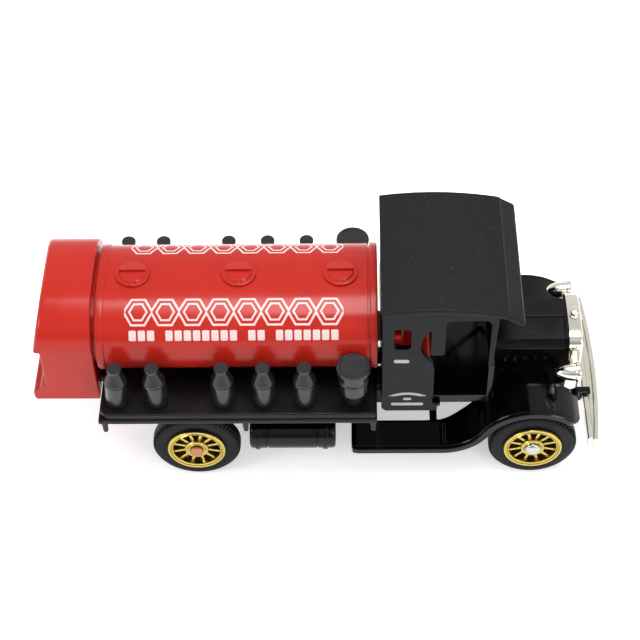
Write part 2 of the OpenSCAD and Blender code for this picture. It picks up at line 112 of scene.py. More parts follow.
class Form:
    """One closed mesh under construction, in millimetres."""

    def __init__(self) -> None:
        """Starts empty."""
        self.bm = bmesh.new()

    def faces_right(self) -> "Form":
        """Merges doubled corners and turns every face outwards.

        Returns:
            This form.
        """
        bmesh.ops.remove_doubles(self.bm, verts=self.bm.verts, dist=1e-5)
        bmesh.ops.recalc_face_normals(self.bm, faces=self.bm.faces)
        return self

    def box(self, low: Place, high: Place) -> "Form":
        """Makes a box between two corners.

        Args:
            low: Lowest corner.
            high: Highest corner.

        Returns:
            This form.
        """
        made = bmesh.ops.create_cube(self.bm, size=1)["verts"]
        size = Vector(high) - Vector(low)
        middle = (Vector(high) + Vector(low)) / 2
        bmesh.ops.scale(self.bm, vec=size, verts=made)
        bmesh.ops.translate(self.bm, vec=middle, verts=made)
        return self

    def plate(self, axis: Axis, start: float, end: float, outline: Sequence[Point],
              holes: Sequence[Sequence[Point]] = ()) -> "Form":
        """Pushes a flat drawing along an axis.

        Args:
            axis: The direction of the push.
            start: Where the plate begins.
            end: Where it ends.
            outline: The outer edge.
            holes: Edges of openings in it.

        Returns:
            This form.
        """
        edges = []
        for loop in (outline, *holes):
            corners = [self.bm.verts.new(lay(axis, start, p)) for p in loop]
            edges += [self.bm.edges.new(pair) for pair in zip(corners, corners[1:] + corners[:1])]
        if holes:
            bmesh.ops.triangle_fill(self.bm, use_beauty=True, edges=edges)
            bmesh.ops.dissolve_limit(self.bm, angle_limit=0.02, verts=self.bm.verts, edges=self.bm.edges)
        else:
            bmesh.ops.contextual_create(self.bm, geom=edges)
        grown = bmesh.ops.extrude_face_region(self.bm, geom=list(self.bm.faces))["geom"]
        moved = [g for g in grown if isinstance(g, bmesh.types.BMVert)]
        bmesh.ops.translate(self.bm, vec=axis.value * (end - start), verts=moved)
        return self.faces_right()

    def loft(self, rings: Sequence[Sequence[Vector]]) -> "Form":
        """Draws one ring of corners through the others, closed at both ends.

        Args:
            rings: Rings with the same number of corners.

        Returns:
            This form.
        """
        tag = self.bm.verts.layers.int.new("corner")
        corners = [self.bm.verts.new(p) for p in rings[0]]
        for index, corner in enumerate(corners):
            corner[tag] = index
        edges = [self.bm.edges.new(pair) for pair in zip(corners, corners[1:] + corners[:1])]
        face = bmesh.ops.contextual_create(self.bm, geom=edges)["faces"][0]
        for ring in rings[1:]:
            grown = bmesh.ops.extrude_face_region(self.bm, geom=[face, *face.edges])["geom"]
            face = next(g for g in grown if isinstance(g, bmesh.types.BMFace))
            for corner in face.verts:
                corner.co = ring[corner[tag]]
        return self.faces_right()

    def lathe(self, profile: Sequence[Point], place: Place, axis: Axis = Axis.Z, steps: int = 64,
              closed: bool = False, sign: int = 1) -> "Form":
        """Turns a profile of radius and height about an axis; open ends are closed onto the axis.

        Args:
            profile: Radius and height pairs.
            place: Where the axis has its zero height.
            axis: The axis.
            steps: Number of facets round it.
            closed: Whether the last point joins the first.
            sign: -1 to measure heights the other way.

        Returns:
            This form.
        """
        path = list(profile)
        if not closed and path[0][0] > 0:
            path.insert(0, (0, path[0][1]))
        if not closed and path[-1][0] > 0:
            path.append((0, path[-1][1]))
        corners = [self.bm.verts.new((r, 0, h)) for r, h in path]
        edges = [self.bm.edges.new(pair) for pair in zip(corners, corners[1:])]
        if closed:
            edges.append(self.bm.edges.new((corners[-1], corners[0])))
        bmesh.ops.spin(self.bm, geom=corners + edges, cent=(0, 0, 0), axis=(0, 0, 1), angle=math.tau,
                       steps=steps, use_merge=True)
        turn = Vector((0, 0, 1)).rotation_difference(axis.value * sign).to_matrix().to_4x4()
        bmesh.ops.transform(self.bm, matrix=Matrix.Translation(place) @ turn, verts=self.bm.verts)
        return self.faces_right()

    def bar(self, start: Place, end: Place, radius: float, steps: int = 24, soft: float = 0.08) -> "Form":
        """Makes a round bar with softened ends between two points.

        Args:
            start: Middle of one end.
            end: Middle of the other.
            radius: Its radius.
            steps: Number of facets round it.
            soft: Size of the softening of its ends.

        Returns:
            This form.
        """
        line = Vector(end) - Vector(start)
        long = line.length
        self.lathe([(0, 0), (radius - soft, 0), (radius, soft), (radius, long - soft),
                    (radius - soft, long), (0, long)], (0, 0, 0), Axis.Z, steps)
        turn = Vector((0, 0, 1)).rotation_difference(line).to_matrix().to_4x4()
        bmesh.ops.transform(self.bm, matrix=Matrix.Translation(start) @ turn, verts=self.bm.verts)
        return self

    def soften(self, width: float, segments: int = 2, angle: float = 28, where: Test | None = None) -> "Form":
        """Rounds the sharp edges.

        Args:
            width: Width of the rounding.
            segments: Number of facets across it.
            angle: Edges that turn by less than this many degrees are left.
            where: Keeps only edges whose middle passes this test.

        Returns:
            This form.
        """
        sharp = [e for e in self.bm.edges if e.is_manifold and e.calc_face_angle(0) > math.radians(angle)
                 and (where is None or where((e.verts[0].co + e.verts[1].co) / 2))]
        bmesh.ops.bevel(self.bm, geom=sharp, offset=width, offset_type="OFFSET", affect="EDGES",
                        segments=segments, profile=0.5, material=-1, clamp_overlap=True)
        return self

    def turn(self, degrees: float, axis: Axis, about: Place) -> "Form":
        """Turns the form about an axis through a point.

        Args:
            degrees: How far it turns.
            axis: The axis's direction.
            about: A point on the axis.

        Returns:
            This form.
        """
        bmesh.ops.rotate(self.bm, cent=about, matrix=Matrix.Rotation(math.radians(degrees), 3, axis.value),
                         verts=self.bm.verts)
        return self

    def on(self, side: Side) -> "Form":
        """Mirrors a form that was drawn on the right where the left is asked for.

        Args:
            side: The side it belongs on.

        Returns:
            This form.
        """
        if side is Side.LEFT:
            bmesh.ops.scale(self.bm, vec=(1, -1, 1), verts=self.bm.verts)
            bmesh.ops.reverse_faces(self.bm, faces=self.bm.faces)
        return self

    def paint(self, index: int) -> "Form":
        """Gives every face one of the piece's finishes.

        Args:
            index: The finish's number.

        Returns:
            This form.
        """
        for face in self.bm.faces:
            face.material_index = index
        return self


def piece(name: str, forms: Sequence[Form], finishes: Sequence["Finish"], body: str, slot: str,
          *nodes: str) -> bpy.types.Object:
    """Joins forms to one finished piece that rides on a body.

    Args:
        name: The piece's name.
        forms: The closed meshes it is made of.
        finishes: Its finishes, in the order that the forms number them.
        body: The body it moves with.
        slot: The material slot its finish belongs to; not used.
        nodes: The frame nodes that it stands for.

    Returns:
        The object.
    """
    whole = bmesh.new()
    for form in forms:
        part = bpy.data.meshes.new("part")
        form.bm.to_mesh(part)
        whole.from_mesh(part)
        form.bm.free()
        bpy.data.meshes.remove(part)
    bmesh.ops.scale(whole, vec=(MM, MM, MM), verts=whole.verts)
    mesh = bpy.data.meshes.new(name)
    whole.to_mesh(mesh)
    whole.free()
    mesh.polygons.foreach_set("use_smooth", [True] * len(mesh.polygons))
    mesh.set_sharp_from_angle(angle=math.radians(CREASE))
    made = bpy.data.objects.new(name, mesh)
    bpy.context.scene.collection.objects.link(made)
    for finish in finishes:
        mesh.materials.append(finish.material())
    shading = made.modifiers.new("even_shading", "WEIGHTED_NORMAL")
    shading.keep_sharp = True
    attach(made, body)
    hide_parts(*nodes)
    LOG.info("%s: %d faces on %s", name, len(mesh.polygons), body)
    return made


# ---- Finishes ----


def linear(code: str) -> tuple[float, float, float, float]:
    """An sRGB hex colour as linear red, green, blue and alpha."""
    parts = [int(code[i:i + 2], 16) / 255 for i in (0, 2, 4)]
    return (*[c / 12.92 if c <= 0.04045 else ((c + 0.055) / 1.055) ** 2.4 for c in parts], 1.0)


def per_metre(size_mm: float) -> float:
    """The scale of a noise whose features are that many millimetres across."""
    return 1 / (size_mm * MM)


def add(tree: bpy.types.NodeTree, kind: str, values: dict[Any, Any] | None = None,
        links: dict[Any, Any] | None = None, **settings: Any) -> bpy.types.Node:
    """Adds one node.

    Args:
        tree: The material's node tree.
        kind: The node's type.
        values: Values of its inputs.
        links: Sockets that feed its inputs.
        settings: Its properties.

    Returns:
        The node.
    """
    made = tree.nodes.new(kind)
    for key, value in settings.items():
        setattr(made, key, value)
    for key, value in (values or {}).items():
        made.inputs[key].default_value = value
    for key, source in (links or {}).items():
        tree.links.new(source, made.inputs[key])
    return made


def sums(tree: bpy.types.NodeTree, operation: str, *terms: Any) -> Any:
    """One Math node over numbers and sockets.

    Args:
        tree: The material's node tree.
        operation: Name of the operation.
        terms: A number or a socket for each input.

    Returns:
        Its output socket.
    """
    fixed = {i: t for i, t in enumerate(terms) if isinstance(t, (int, float))}
    fed = {i: t for i, t in enumerate(terms) if i not in fixed}
    return add(tree, "ShaderNodeMath", fixed, fed, operation=operation).outputs[0]


@dataclass(frozen=True)
class Finish:
    """A surface: its colours, its gloss, and the fine grain that its making leaves."""

    name: str
    tint: str
    shade: str
    roughness: float
    spread: float = 0.05
    metallic: float = 0.0
    ior: float = 1.5
    specular: float = 0.5
    mottle_mm: float = 6.0
    grain_mm: float = 0.5
    grain_high_mm: float = 0.004

    def overlay(self, tree: bpy.types.NodeTree, place: Any, colour: Any) -> Any:
        """The colour with whatever is printed, strewn or painted as shade over it; a plain finish has
        nothing.
        """
        return colour

    def material(self) -> bpy.types.Material:
        """The finish as a material, made once.

        Returns:
            The material.
        """
        known = bpy.data.materials.get(self.name)
        if known:
            return known
        made = bpy.data.materials.new(self.name)
        made.use_nodes = True
        tree = made.node_tree
        tree.nodes.clear()
        place = add(tree, "ShaderNodeTexCoord").outputs["Object"]
        mottle = add(tree, "ShaderNodeTexNoise", {"Scale": per_metre(self.mottle_mm), "Detail": 3.0},
                     {"Vector": place}).outputs["Fac"]
        colour = add(tree, "ShaderNodeMix", {6: linear(self.tint), 7: linear(self.shade)}, {0: mottle},
                     data_type="RGBA").outputs[2]
        rough = add(tree, "ShaderNodeMapRange", {1: 0.3, 2: 0.7, 3: max(0.02, self.roughness - self.spread),
                                                 4: self.roughness + self.spread}, {0: mottle}).outputs[0]
        grain = add(tree, "ShaderNodeTexNoise", {"Scale": per_metre(self.grain_mm), "Detail": 2.0},
                    {"Vector": place}).outputs["Fac"]
        bump = add(tree, "ShaderNodeBump", {"Strength": 1.0, "Distance": self.grain_high_mm * MM},
                   {"Height": grain}).outputs[0]
        shader = add(tree, "ShaderNodeBsdfPrincipled",
                     {"Metallic": self.metallic, "IOR": self.ior, "Specular IOR Level": self.specular},
                     {"Base Color": self.overlay(tree, place, colour), "Roughness": rough, "Normal": bump})
        add(tree, "ShaderNodeOutputMaterial", {}, {0: shader.outputs[0]})
        return made


@dataclass(frozen=True)
class Speckled(Finish):
    """A finish with paler specks of dust or flake in it."""

    speck: str = "808088"
    speck_mm: float = 0.35
    share: float = 0.66
    edge: float = 0.08
    strength: float = 0.55

    def overlay(self, tree: bpy.types.NodeTree, place: Any, colour: Any) -> Any:
        """Scatters the specks where a fine noise is highest.

        Args:
            tree: The material's node tree.
            place: Socket of the object's coordinates.
            colour: Socket of the bare colour.

        Returns:
            Socket of the finished colour.
        """
        noise = add(tree, "ShaderNodeTexNoise", {"Scale": per_metre(self.speck_mm), "Detail": 1.0},
                    {"Vector": place}).outputs["Fac"]
        mask = add(tree, "ShaderNodeMapRange",
                   {1: self.share, 2: self.share + self.edge, 3: 0.0, 4: self.strength},
                   {0: noise}).outputs[0]
        return add(tree, "ShaderNodeMix", {7: linear(self.speck)}, {0: mask, 6: colour},
                   data_type="RGBA").outputs[2]


@dataclass(frozen=True)
class Printed(Finish):
    """A finish with pad-printed white ink on it."""

    ink: str = "c9b4b2"

    def split(self, tree: bpy.types.NodeTree, place: Any) -> tuple[Any, Any, Any]:
        """Splits the object's coordinates.

        Args:
            tree: The material's node tree.
            place: Socket of the object's coordinates.

        Returns:
            X, the distance from the truck's middle, and Z, all in millimetres.
        """
        scaled = add(tree, "ShaderNodeVectorMath", {1: (1 / MM,) * 3}, {0: place},
                     operation="MULTIPLY").outputs[0]
        parts = add(tree, "ShaderNodeSeparateXYZ", {}, {0: scaled}).outputs
        return parts[0], sums(tree, "ABSOLUTE", parts[1]), parts[2]

    def block(self, tree: bpy.types.NodeTree, across: Any, up: Any, half: Point, radius: float) -> Any:
        """Distance to a rounded block about the origin.

        Args:
            tree: The material's node tree.
            across: First coordinate from its middle.
            up: Second coordinate from its middle.
            half: Its half sizes.
            radius: Radius of its corners.

        Returns:
            A socket that is below zero inside it.
        """
        past = [sums(tree, "MAXIMUM", sums(tree, "SUBTRACT", sums(tree, "ABSOLUTE", c), h - radius), 0.0)
                for c, h in zip((across, up), half)]
        squares = [sums(tree, "MULTIPLY", p, p) for p in past]
        return sums(tree, "SUBTRACT", sums(tree, "SQRT", sums(tree, "ADD", *squares)), radius)

    def ring(self, tree: bpy.types.NodeTree, distance: Any, width: float) -> Any:
        """1 in the rim of that width inside a distance of zero."""
        inside = sums(tree, "LESS_THAN", distance, 0.0)
        return sums(tree, "MULTIPLY", inside, sums(tree, "GREATER_THAN", distance, -width))

    def mask(self, tree: bpy.types.NodeTree, place: Any) -> Any:
        """Where there is ink; each print has its own."""
        raise NotImplementedError

    def overlay(self, tree: bpy.types.NodeTree, place: Any, colour: Any) -> Any:
        """Lays the ink over the colour.

        Args:
            tree: The material's node tree.
            place: Socket of the object's coordinates.
            colour: Socket of the bare colour.

        Returns:
            Socket of the finished colour.
        """
        return add(tree, "ShaderNodeMix", {7: linear(self.ink)}, {0: self.mask(tree, place), 6: colour},
                   data_type="RGBA").outputs[2]


@dataclass(frozen=True)
class TankPrint(Printed):
    """A row of outlined links above a row of plain blocks, on both shoulders of the tank."""

    shoulder_z: float = 35.0
    link_from: float = -37.25
    link_pitch: float = 5.29
    links: int = 8
    link_at: Point = (8.55, 39.95)
    link_slope: Point = (0.893, -0.45)
    link_lines: tuple[Point, Point] = ((0.0, 0.4), (0.95, 0.36))
    block_from: float = -36.6
    block_pitch: float = 1.777
    blocks: int = 23
    block_at: Point = (12.1, 37.1)
    block_slope: Point = (0.524, -0.852)
    block_half: Point = (0.7, 1.05)
    block_corner: float = 0.25
    gaps: tuple[int, ...] = (3, 12, 15)

    def mask(self, tree: bpy.types.NodeTree, place: Any) -> Any:
        """Places the two rows by their way down the shoulder.

        Args:
            tree: The material's node tree.
            place: Socket of the object's coordinates.

        Returns:
            A socket that is 1 where there is ink.
        """
        x, y, z = self.split(tree, place)

        def down(start: Point, slope: Point) -> Any:
            """How far down the shoulder from a point, along a slope."""
            return sums(tree, "ADD", sums(tree, "MULTIPLY", sums(tree, "SUBTRACT", y, start[0]), slope[0]),
                        sums(tree, "MULTIPLY", sums(tree, "SUBTRACT", z, start[1]), slope[1]))

        def cell(first: float, pitch: float) -> tuple[Any, Any]:
            """The number of the cell along X and the way from its middle."""
            count = sums(tree, "DIVIDE", sums(tree, "SUBTRACT", x, first), pitch)
            part = sums(tree, "SUBTRACT", sums(tree, "FRACT", count), 0.5)
            return sums(tree, "FLOOR", count), sums(tree, "MULTIPLY", part, pitch)

        number, across = cell(self.link_from, self.link_pitch)
        link = self.link(tree, across, down(self.link_at, self.link_slope))
        rings = [self.ring(tree, sums(tree, "ADD", link, inset), width) for inset, width in self.link_lines]
        rows = [self.between(tree, sums(tree, "MAXIMUM", *rings), number, self.links)]
        number, across = cell(self.block_from, self.block_pitch)
        far = self.block(tree, across, down(self.block_at, self.block_slope), self.block_half,
                         self.block_corner)
        row = sums(tree, "LESS_THAN", far, 0.0)
        for gap in self.gaps:
            blank = sums(tree, "COMPARE", number, gap, 0.4)
            row = sums(tree, "MULTIPLY", row, sums(tree, "SUBTRACT", 1.0, blank))
        rows.append(self.between(tree, row, number, self.blocks))
        high = sums(tree, "GREATER_THAN", z, self.shoulder_z)
        return sums(tree, "MULTIPLY", sums(tree, "MAXIMUM", *rows), high)

    def link(self, tree: bpy.types.NodeTree, across: Any, up: Any) -> Any:
        """Distance to a six-sided link with a point at each end.

        Args:
            tree: The material's node tree.
            across: First coordinate from its middle.
            up: Second coordinate from its middle.

        Returns:
            A socket that is below zero inside it.
        """
        high = sums(tree, "ABSOLUTE", up)
        slant = sums(tree, "ADD", sums(tree, "MULTIPLY", sums(tree, "ABSOLUTE", across), 0.87),
                     sums(tree, "MULTIPLY", high, 0.5))
        return sums(tree, "MAXIMUM", sums(tree, "SUBTRACT", high, 2.75), sums(tree, "SUBTRACT", slant, 2.62))

    def between(self, tree: bpy.types.NodeTree, pattern: Any, number: Any, count: int) -> Any:
        """Keeps a pattern to the cells from the first up to a count.

        Args:
            tree: The material's node tree.
            pattern: Socket of the pattern.
            number: Socket of the cell's number.
            count: How many cells.

        Returns:
            The pattern in those cells, and 0 in the others.
        """
        after = sums(tree, "GREATER_THAN", number, -0.5)
        before = sums(tree, "LESS_THAN", number, count - 0.5)
        return sums(tree, "MULTIPLY", pattern, sums(tree, "MULTIPLY", after, before))


@dataclass(frozen=True)
class CabPrint(Printed):
    """A short bar, and an arc over two bars, on the outside of each cab side."""

    outside: float = 15.3
    bars: tuple[tuple[Point, Point], ...] = (((16.2, 32.9), (1.5, 0.5)), ((17.5, 21.4), (0.8, 0.35)),
                                             ((17.5, 19.8), (3.2, 0.42)))
    bow_at: Point = (17.5, 16.2)
    bow_r: float = 7.2
    bow_wide: float = 0.7
    bow_from: float = 6.1

    def mask(self, tree: bpy.types.NodeTree, place: Any) -> Any:
        """Joins the marks and keeps them to the outer faces.

        Args:
            tree: The material's node tree.
            place: Socket of the object's coordinates.

        Returns:
            A socket that is 1 where there is ink.
        """
        x, y, z = self.split(tree, place)

        def way(middle: Point) -> list[Any]:
            """The way from a middle, along X and up."""
            return [sums(tree, "SUBTRACT", spot, centre) for spot, centre in zip((x, z), middle)]

        across, up = way(self.bow_at)
        squares = [sums(tree, "MULTIPLY", part, part) for part in (across, up)]
        far = sums(tree, "SQRT", sums(tree, "ADD", *squares))
        bow = self.ring(tree, sums(tree, "SUBTRACT", far, self.bow_r), self.bow_wide)
        marks = sums(tree, "MULTIPLY", bow, sums(tree, "GREATER_THAN", up, self.bow_from))
        for middle, half in self.bars:
            bar = self.block(tree, *way(middle), half, min(half) * 0.9)
            marks = sums(tree, "MAXIMUM", marks, sums(tree, "LESS_THAN", bar, 0.0))
        return sums(tree, "MULTIPLY", marks, sums(tree, "GREATER_THAN", y, self.outside))


@dataclass(frozen=True)
class Finned(Finish):
    """A finish crossed by fine fins, as on a radiator core, with painted shade in the gaps between them."""

    pitch_mm: float = 0.55
    # Colour of the shade painted into the gaps between the fins.
    gap: str = "20211f"

    def overlay(self, tree: bpy.types.NodeTree, place: Any, colour: Any) -> Any:
        """Paints shade into the gaps between the fins, as dark stripes.

        Args:
            tree: The material's node tree.
            place: Socket of the object's coordinates.
            colour: Socket of the bare colour.

        Returns:
            Socket of the finished colour.
        """
        scale = per_metre(self.pitch_mm) * math.pi / 10
        wave = add(tree, "ShaderNodeTexWave", {"Scale": scale, "Distortion": 0.0}, {"Vector": place},
                   bands_direction="Z").outputs["Fac"]
        # Painted shade: the gap colour laid in dark stripes between the fins.
        return add(tree, "ShaderNodeMix", {7: linear(self.gap)}, {0: wave, 6: colour},
                   data_type="RGBA").outputs[2]


# Grain finer than about a quarter of a millimetre can't show, so no finish has a finer one.

# Gloss enamel sprayed on a zinc casting: deep black with a clear, slightly uneven reflection.
GLOSS_BLACK = Finish("black_enamel_sprayed_zinc", "020203", "050507", 0.13, 0.05, specular=0.22,
                     grain_mm=1.6, grain_high_mm=0.006)
# The same enamel where it pooled less, on the bonnet.
SATIN_BLACK = Speckled("black_enamel_satin_zinc", "030306", "06060a", 0.26, 0.06, specular=0.17, grain_mm=0.9,
                       grain_high_mm=0.006, speck="50505a", speck_mm=0.3, share=0.74)
# Polystyrene moulded against a spark-eroded tool: even dark grey with a soft sheen.
MOULDED_BLACK = Finish("black_polystyrene_moulded", "08080a", "0e0e11", 0.36, 0.07, specular=0.18,
                       grain_mm=0.35, grain_high_mm=0.006)
# The loose cargo is the same plastic, rubbed paler by handling.
CARGO_BLACK = Speckled("charcoal_polystyrene_moulded", "121216", "1a1a1f", 0.24, 0.05, specular=0.42,
                       grain_mm=0.9, grain_high_mm=0.006, speck="3c3c42", speck_mm=0.3, share=0.72)
# Cab sides: smooth satin enamel with white pad printing.
CAB_BLACK = CabPrint("black_enamel_satin_printed", "040408", "07070c", 0.26, 0.05, specular=0.14,
                     grain_mm=1.0, grain_high_mm=0.005, ink="9a9a9e")
# Roof: matt plastic with dust in its grain.
ROOF_BLACK = Speckled("black_abs_matt_moulded", "08080c", "0f0f15", 0.55, 0.05, specular=0.18, grain_mm=0.3,
                      grain_high_mm=0.012, speck="34343c", speck_mm=0.45, share=0.66)
# Red plastic with a polished mould finish.
SIGNAL_RED = Finish("red_polystyrene_gloss_moulded", "9c1c12", "a62218", 0.2, 0.05, specular=0.24,
                    mottle_mm=14, grain_mm=2.2, grain_high_mm=0.004)
TANK_RED = TankPrint("red_polystyrene_gloss_printed", "9c1c12", "a52117", 0.2, 0.05, specular=0.24,
                     mottle_mm=14, grain_mm=2.2, grain_high_mm=0.004)
# Vacuum-deposited chrome on plastic: near mirror.
CHROME = Finish("chrome_vacuum_plated", "ebe8db", "d8d4c6", 0.09, 0.04, 1.0, grain_mm=1.4,
                grain_high_mm=0.004)
# The radiator core under the same plating, duller and darker, with shade painted in stripes between its fins.
CORE = Finned("chrome_core_finned", "9a9c93", "7f817a", 0.3, 0.06, 1.0, grain_mm=0.5)
# Clear-lacquered bright gold plating on the wheels.
GOLD = Finish("gold_vacuum_plated", "cbb566", "a3904a", 0.22, 0.06, 1.0, grain_mm=0.8, grain_high_mm=0.008)
# Turned steel wire with a nickel flash.
STEEL = Finish("steel_wire_turned", "c4c4c2", "9c9b98", 0.24, 0.08, 1.0, grain_mm=0.3, grain_high_mm=0.004)
# The rear axle end has lost its bright flash and looks coppery.
COPPERY = Finish("steel_wire_copper_flashed", "c48a6a", "9a6a50", 0.35, 0.08, 1.0, grain_mm=0.3)
# Soft PVC tyre, matt, with a bloom on it.
RUBBER = Speckled("tyre_pvc_matt", "07070b", "0e0e13", 0.5, 0.08, specular=0.14, grain_mm=0.25,
                  grain_high_mm=0.012, speck="44444a", speck_mm=0.3, share=0.72)


# ---- Under the truck ----


@dataclass
class Chassis:
    """The gloss black casting: frame rails, fenders, running boards and aprons."""

    rail_out: float = 6.0
    rail_in: float = 4.4
    rail_low: float = 8.5
    rail_high: float = 12.5
    rear_x: float = -42.0
    front_x: float = 52.5
    fender_r: float = 11.7
    fender_half: float = 18.9
    board_inner: float = 11.3
    board_top: float = 9.5
    board_rear_x: float = 6.4
    step_x: float = 22.45
    thick: float = 1.4
    sweep_r: float = 9.0
    front_corner: float = 2.8
    rear_corner: float = 0.9
    waist_from: float = 23.0
    waist_to: float = 33.0
    waist_in: float = 2.7

    def build(self) -> None:
        """Makes the frame and both fenders."""
        self.frame_rails()
        for side in Side:
            self.fender(side)

    def frame_rails(self) -> None:
        """Makes the rails, cross members, bolsters, bearings and the horns for the bumper."""
        forms = []
        for side in Side:
            forms.append(Form().box((self.rear_x, -self.rail_out, self.rail_low),
                                    (self.front_x, -self.rail_in, self.rail_high)).soften(0.25).on(side))
            forms.append(Form().box((46, -8, 10), (self.front_x, -5.9, self.rail_high)).soften(0.35).on(side))
            forms.append(Form().bar((52.5, -8, 12.2), (52.5, -6, 12.2), 1.15, 32, 0.2).on(side))
            hook = [(52.5, 12.3), (53.68, 12.3), (53.68, 13.02), (55.2, 13.02), (55.2, 13.8), (52.5, 13.8)]
            forms.append(Form().plate(Axis.Y, -7.8, -6.2, hook).soften(0.15).on(side))
            for x in AXLES.values():
                start, end = (x, -13.2, AXLE_Z), (x, -self.rail_in, AXLE_Z)
                forms.append(Form().bar(start, end, 2.2, 40, 0.2).on(side))
            for x in (self.board_rear_x + 1.6, self.step_x):
                forms.append(Form().box((x, -self.board_inner - 1, self.rail_low),
                                        (x + 1.5, -5.9, self.board_top - 0.2)).soften(0.1).on(side))
        for x in (self.rear_x, -16, 12.5, 28, 47):
            forms.append(Form().box((x, -4.5, self.rail_low), (x + 4, 4.5, self.rail_high)).soften(0.25))
        for x in (-40, -14, 5):
            forms.append(Form().box((x, -self.rail_out, 12.4), (x + 4, self.rail_out, 20.85)).soften(0.25))
        piece("frame_rails", forms, [GLOSS_BLACK], TRUCK, "black_casting", "chassis_casting")

    def path(self) -> list[tuple[Vector, Vector]]:
        """The top line from the rear of the running board to the front of the fender.

        Returns:
            Points in X and Z with their normals.
        """
        rise = self.board_top + self.sweep_r - AXLE_Z
        run = math.sqrt((self.fender_r + self.sweep_r) ** 2 - rise ** 2)
        bend = math.degrees(math.atan2(rise, run))
        front = AXLES["front"]
        line = [(Vector((self.board_rear_x + d, self.board_top)), Vector((0, 1)))
                for d in (0, 0.3, 1.2, 5, 10, 15)]
        sweep_x = front - run
        for i in range(11):
            a = math.radians(-90 + (90 - bend) * i / 10)
            out = Vector((math.cos(a), math.sin(a)))
            line.append((Vector((sweep_x, self.board_top + self.sweep_r)) + out * self.sweep_r, -out))
        first = 180 - bend
        stops = [first - (first - 54) * i / 30 for i in range(1, 31)]
        stops += [54 - 14 * (1 - (1 - i / 8) ** 2) for i in range(1, 9)]
        for degrees in stops:
            a = math.radians(degrees)
            out = Vector((math.cos(a), math.sin(a)))
            line.append((Vector((front, AXLE_Z)) + out * self.fender_r, out))
        return line

    def fender(self, side: Side) -> None:
        """Makes one fender with its running board, apron and ribs.

        Args:
            side: Which side of the truck.
        """
        line = self.path()
        gone = [0.0]
        for (p, _), (q, _) in zip(line, line[1:]):
            gone.append(gone[-1] + (q - p).length)
        rings = []
        for (p, n), far in zip(line, gone):
            ahead = gone[-1] - far
            tuck = self.corner(ahead, self.front_corner) + self.corner(far, self.rear_corner)
            inner = self.board_inner
            if p.x < self.waist_to:
                narrow = max(0.0, min(1.0, (p.x - self.waist_from) / 9))
                inner -= self.waist_in * narrow * narrow * (3 - 2 * narrow)
            outer = self.fender_half - tuck
            low = -self.thick
            section = [(inner, low), (inner, -0.12), (inner + 0.12, 0), (outer - 0.95, 0),
                       (outer - 0.8, -0.1), (outer - 0.65, -0.1), (outer - 0.5, 0.02), (outer - 0.15, 0.02),
                       (outer, -0.14), (outer, low + 0.15), (outer - 0.15, low)]
            rings.append([Vector((p.x + n.x * h, -y, p.y + n.y * h)) for y, h in section])
        forms = [Form().loft(rings).on(side)]
        forms.append(self.apron(self.board_inner + 0.02, 10.2, self.fender_r - 0.05).on(side))
        forms.append(self.apron(10.4, self.rail_in, 10.0).on(side))
        ribs = [Form().plate(Axis.X, 7.4, 24.3, [(-y - 0.14, 9.45), (-y + 0.14, 9.45), (-y, 9.62)]).on(side)
                for y in [12.1 + 0.46 * i for i in range(13)]]
        grid = [(24.9 + step, -12.3 - 0.55 * i) for i in range(10) for step in (0.0, 0.55)]
        studs = [Form().bar((x, y, 9.4), (x, y, 9.62), 0.16, 8, 0.05).on(side) for x, y in grid]
        piece(f"fender_{side.word}", forms + ribs + studs, [GLOSS_BLACK], TRUCK, "black_casting",
              "chassis_casting")

    @staticmethod
    def corner(way: float, radius: float) -> float:
        """How far a rounded corner has come in at a distance from the end."""
        return 0.0 if way >= radius else radius - math.sqrt(radius ** 2 - (radius - way) ** 2)

    def apron(self, out: float, inside: float, radius: float) -> Form:
        """Makes the inner wing that arches over the wheel.

        Args:
            out: Its outer place across the truck.
            inside: Its inner place.
            radius: Radius of its top.

        Returns:
            The form.
        """
        centre = (AXLES["front"], AXLE_Z)
        band = arc(centre, radius, 49, 140, 30) + arc(centre, radius - 1.2, 140, 49, 30)
        return Form().plate(Axis.Y, -out, -inside, band).soften(0.15)


@dataclass
class BasePlate:
    """The moulded plate that closes the frame from below, with its two rivets."""

    half: float = 4.2
    low: float = 6.2
    rear_x: float = -33.0
    front_x: float = 47.0
    rivets: tuple[float, float] = (-14.0, 30.0)

    def build(self) -> None:
        """Makes the plate with its panels, and the rivet heads."""
        forms = [Form().box((self.rear_x, -self.half, self.low + 0.15),
                            (self.front_x, self.half, 8.5)).soften(0.3)]
        for start, end in ((-30.5, -17.5), (-10.5, 26.5), (33.5, 45)):
            forms.append(Form().box((start, -3.2, self.low), (end, 3.2, self.low + 0.5)).soften(0.12))
        piece("base_plate", forms, [MOULDED_BLACK], TRUCK, "black_base", "base_plate")
        heads = [Form().lathe([(0, 0), (1.1, 0.02), (1.55, 0.18), (1.7, 0.45), (1.7, 0.6), (0.8, 0.62),
                               (0.8, 4.6), (0, 4.6)], (x, 0, self.low)) for x in self.rivets]
        piece("base_rivets", heads, [STEEL], TRUCK, "steel", "base_rivets")


# ---- Front end ----


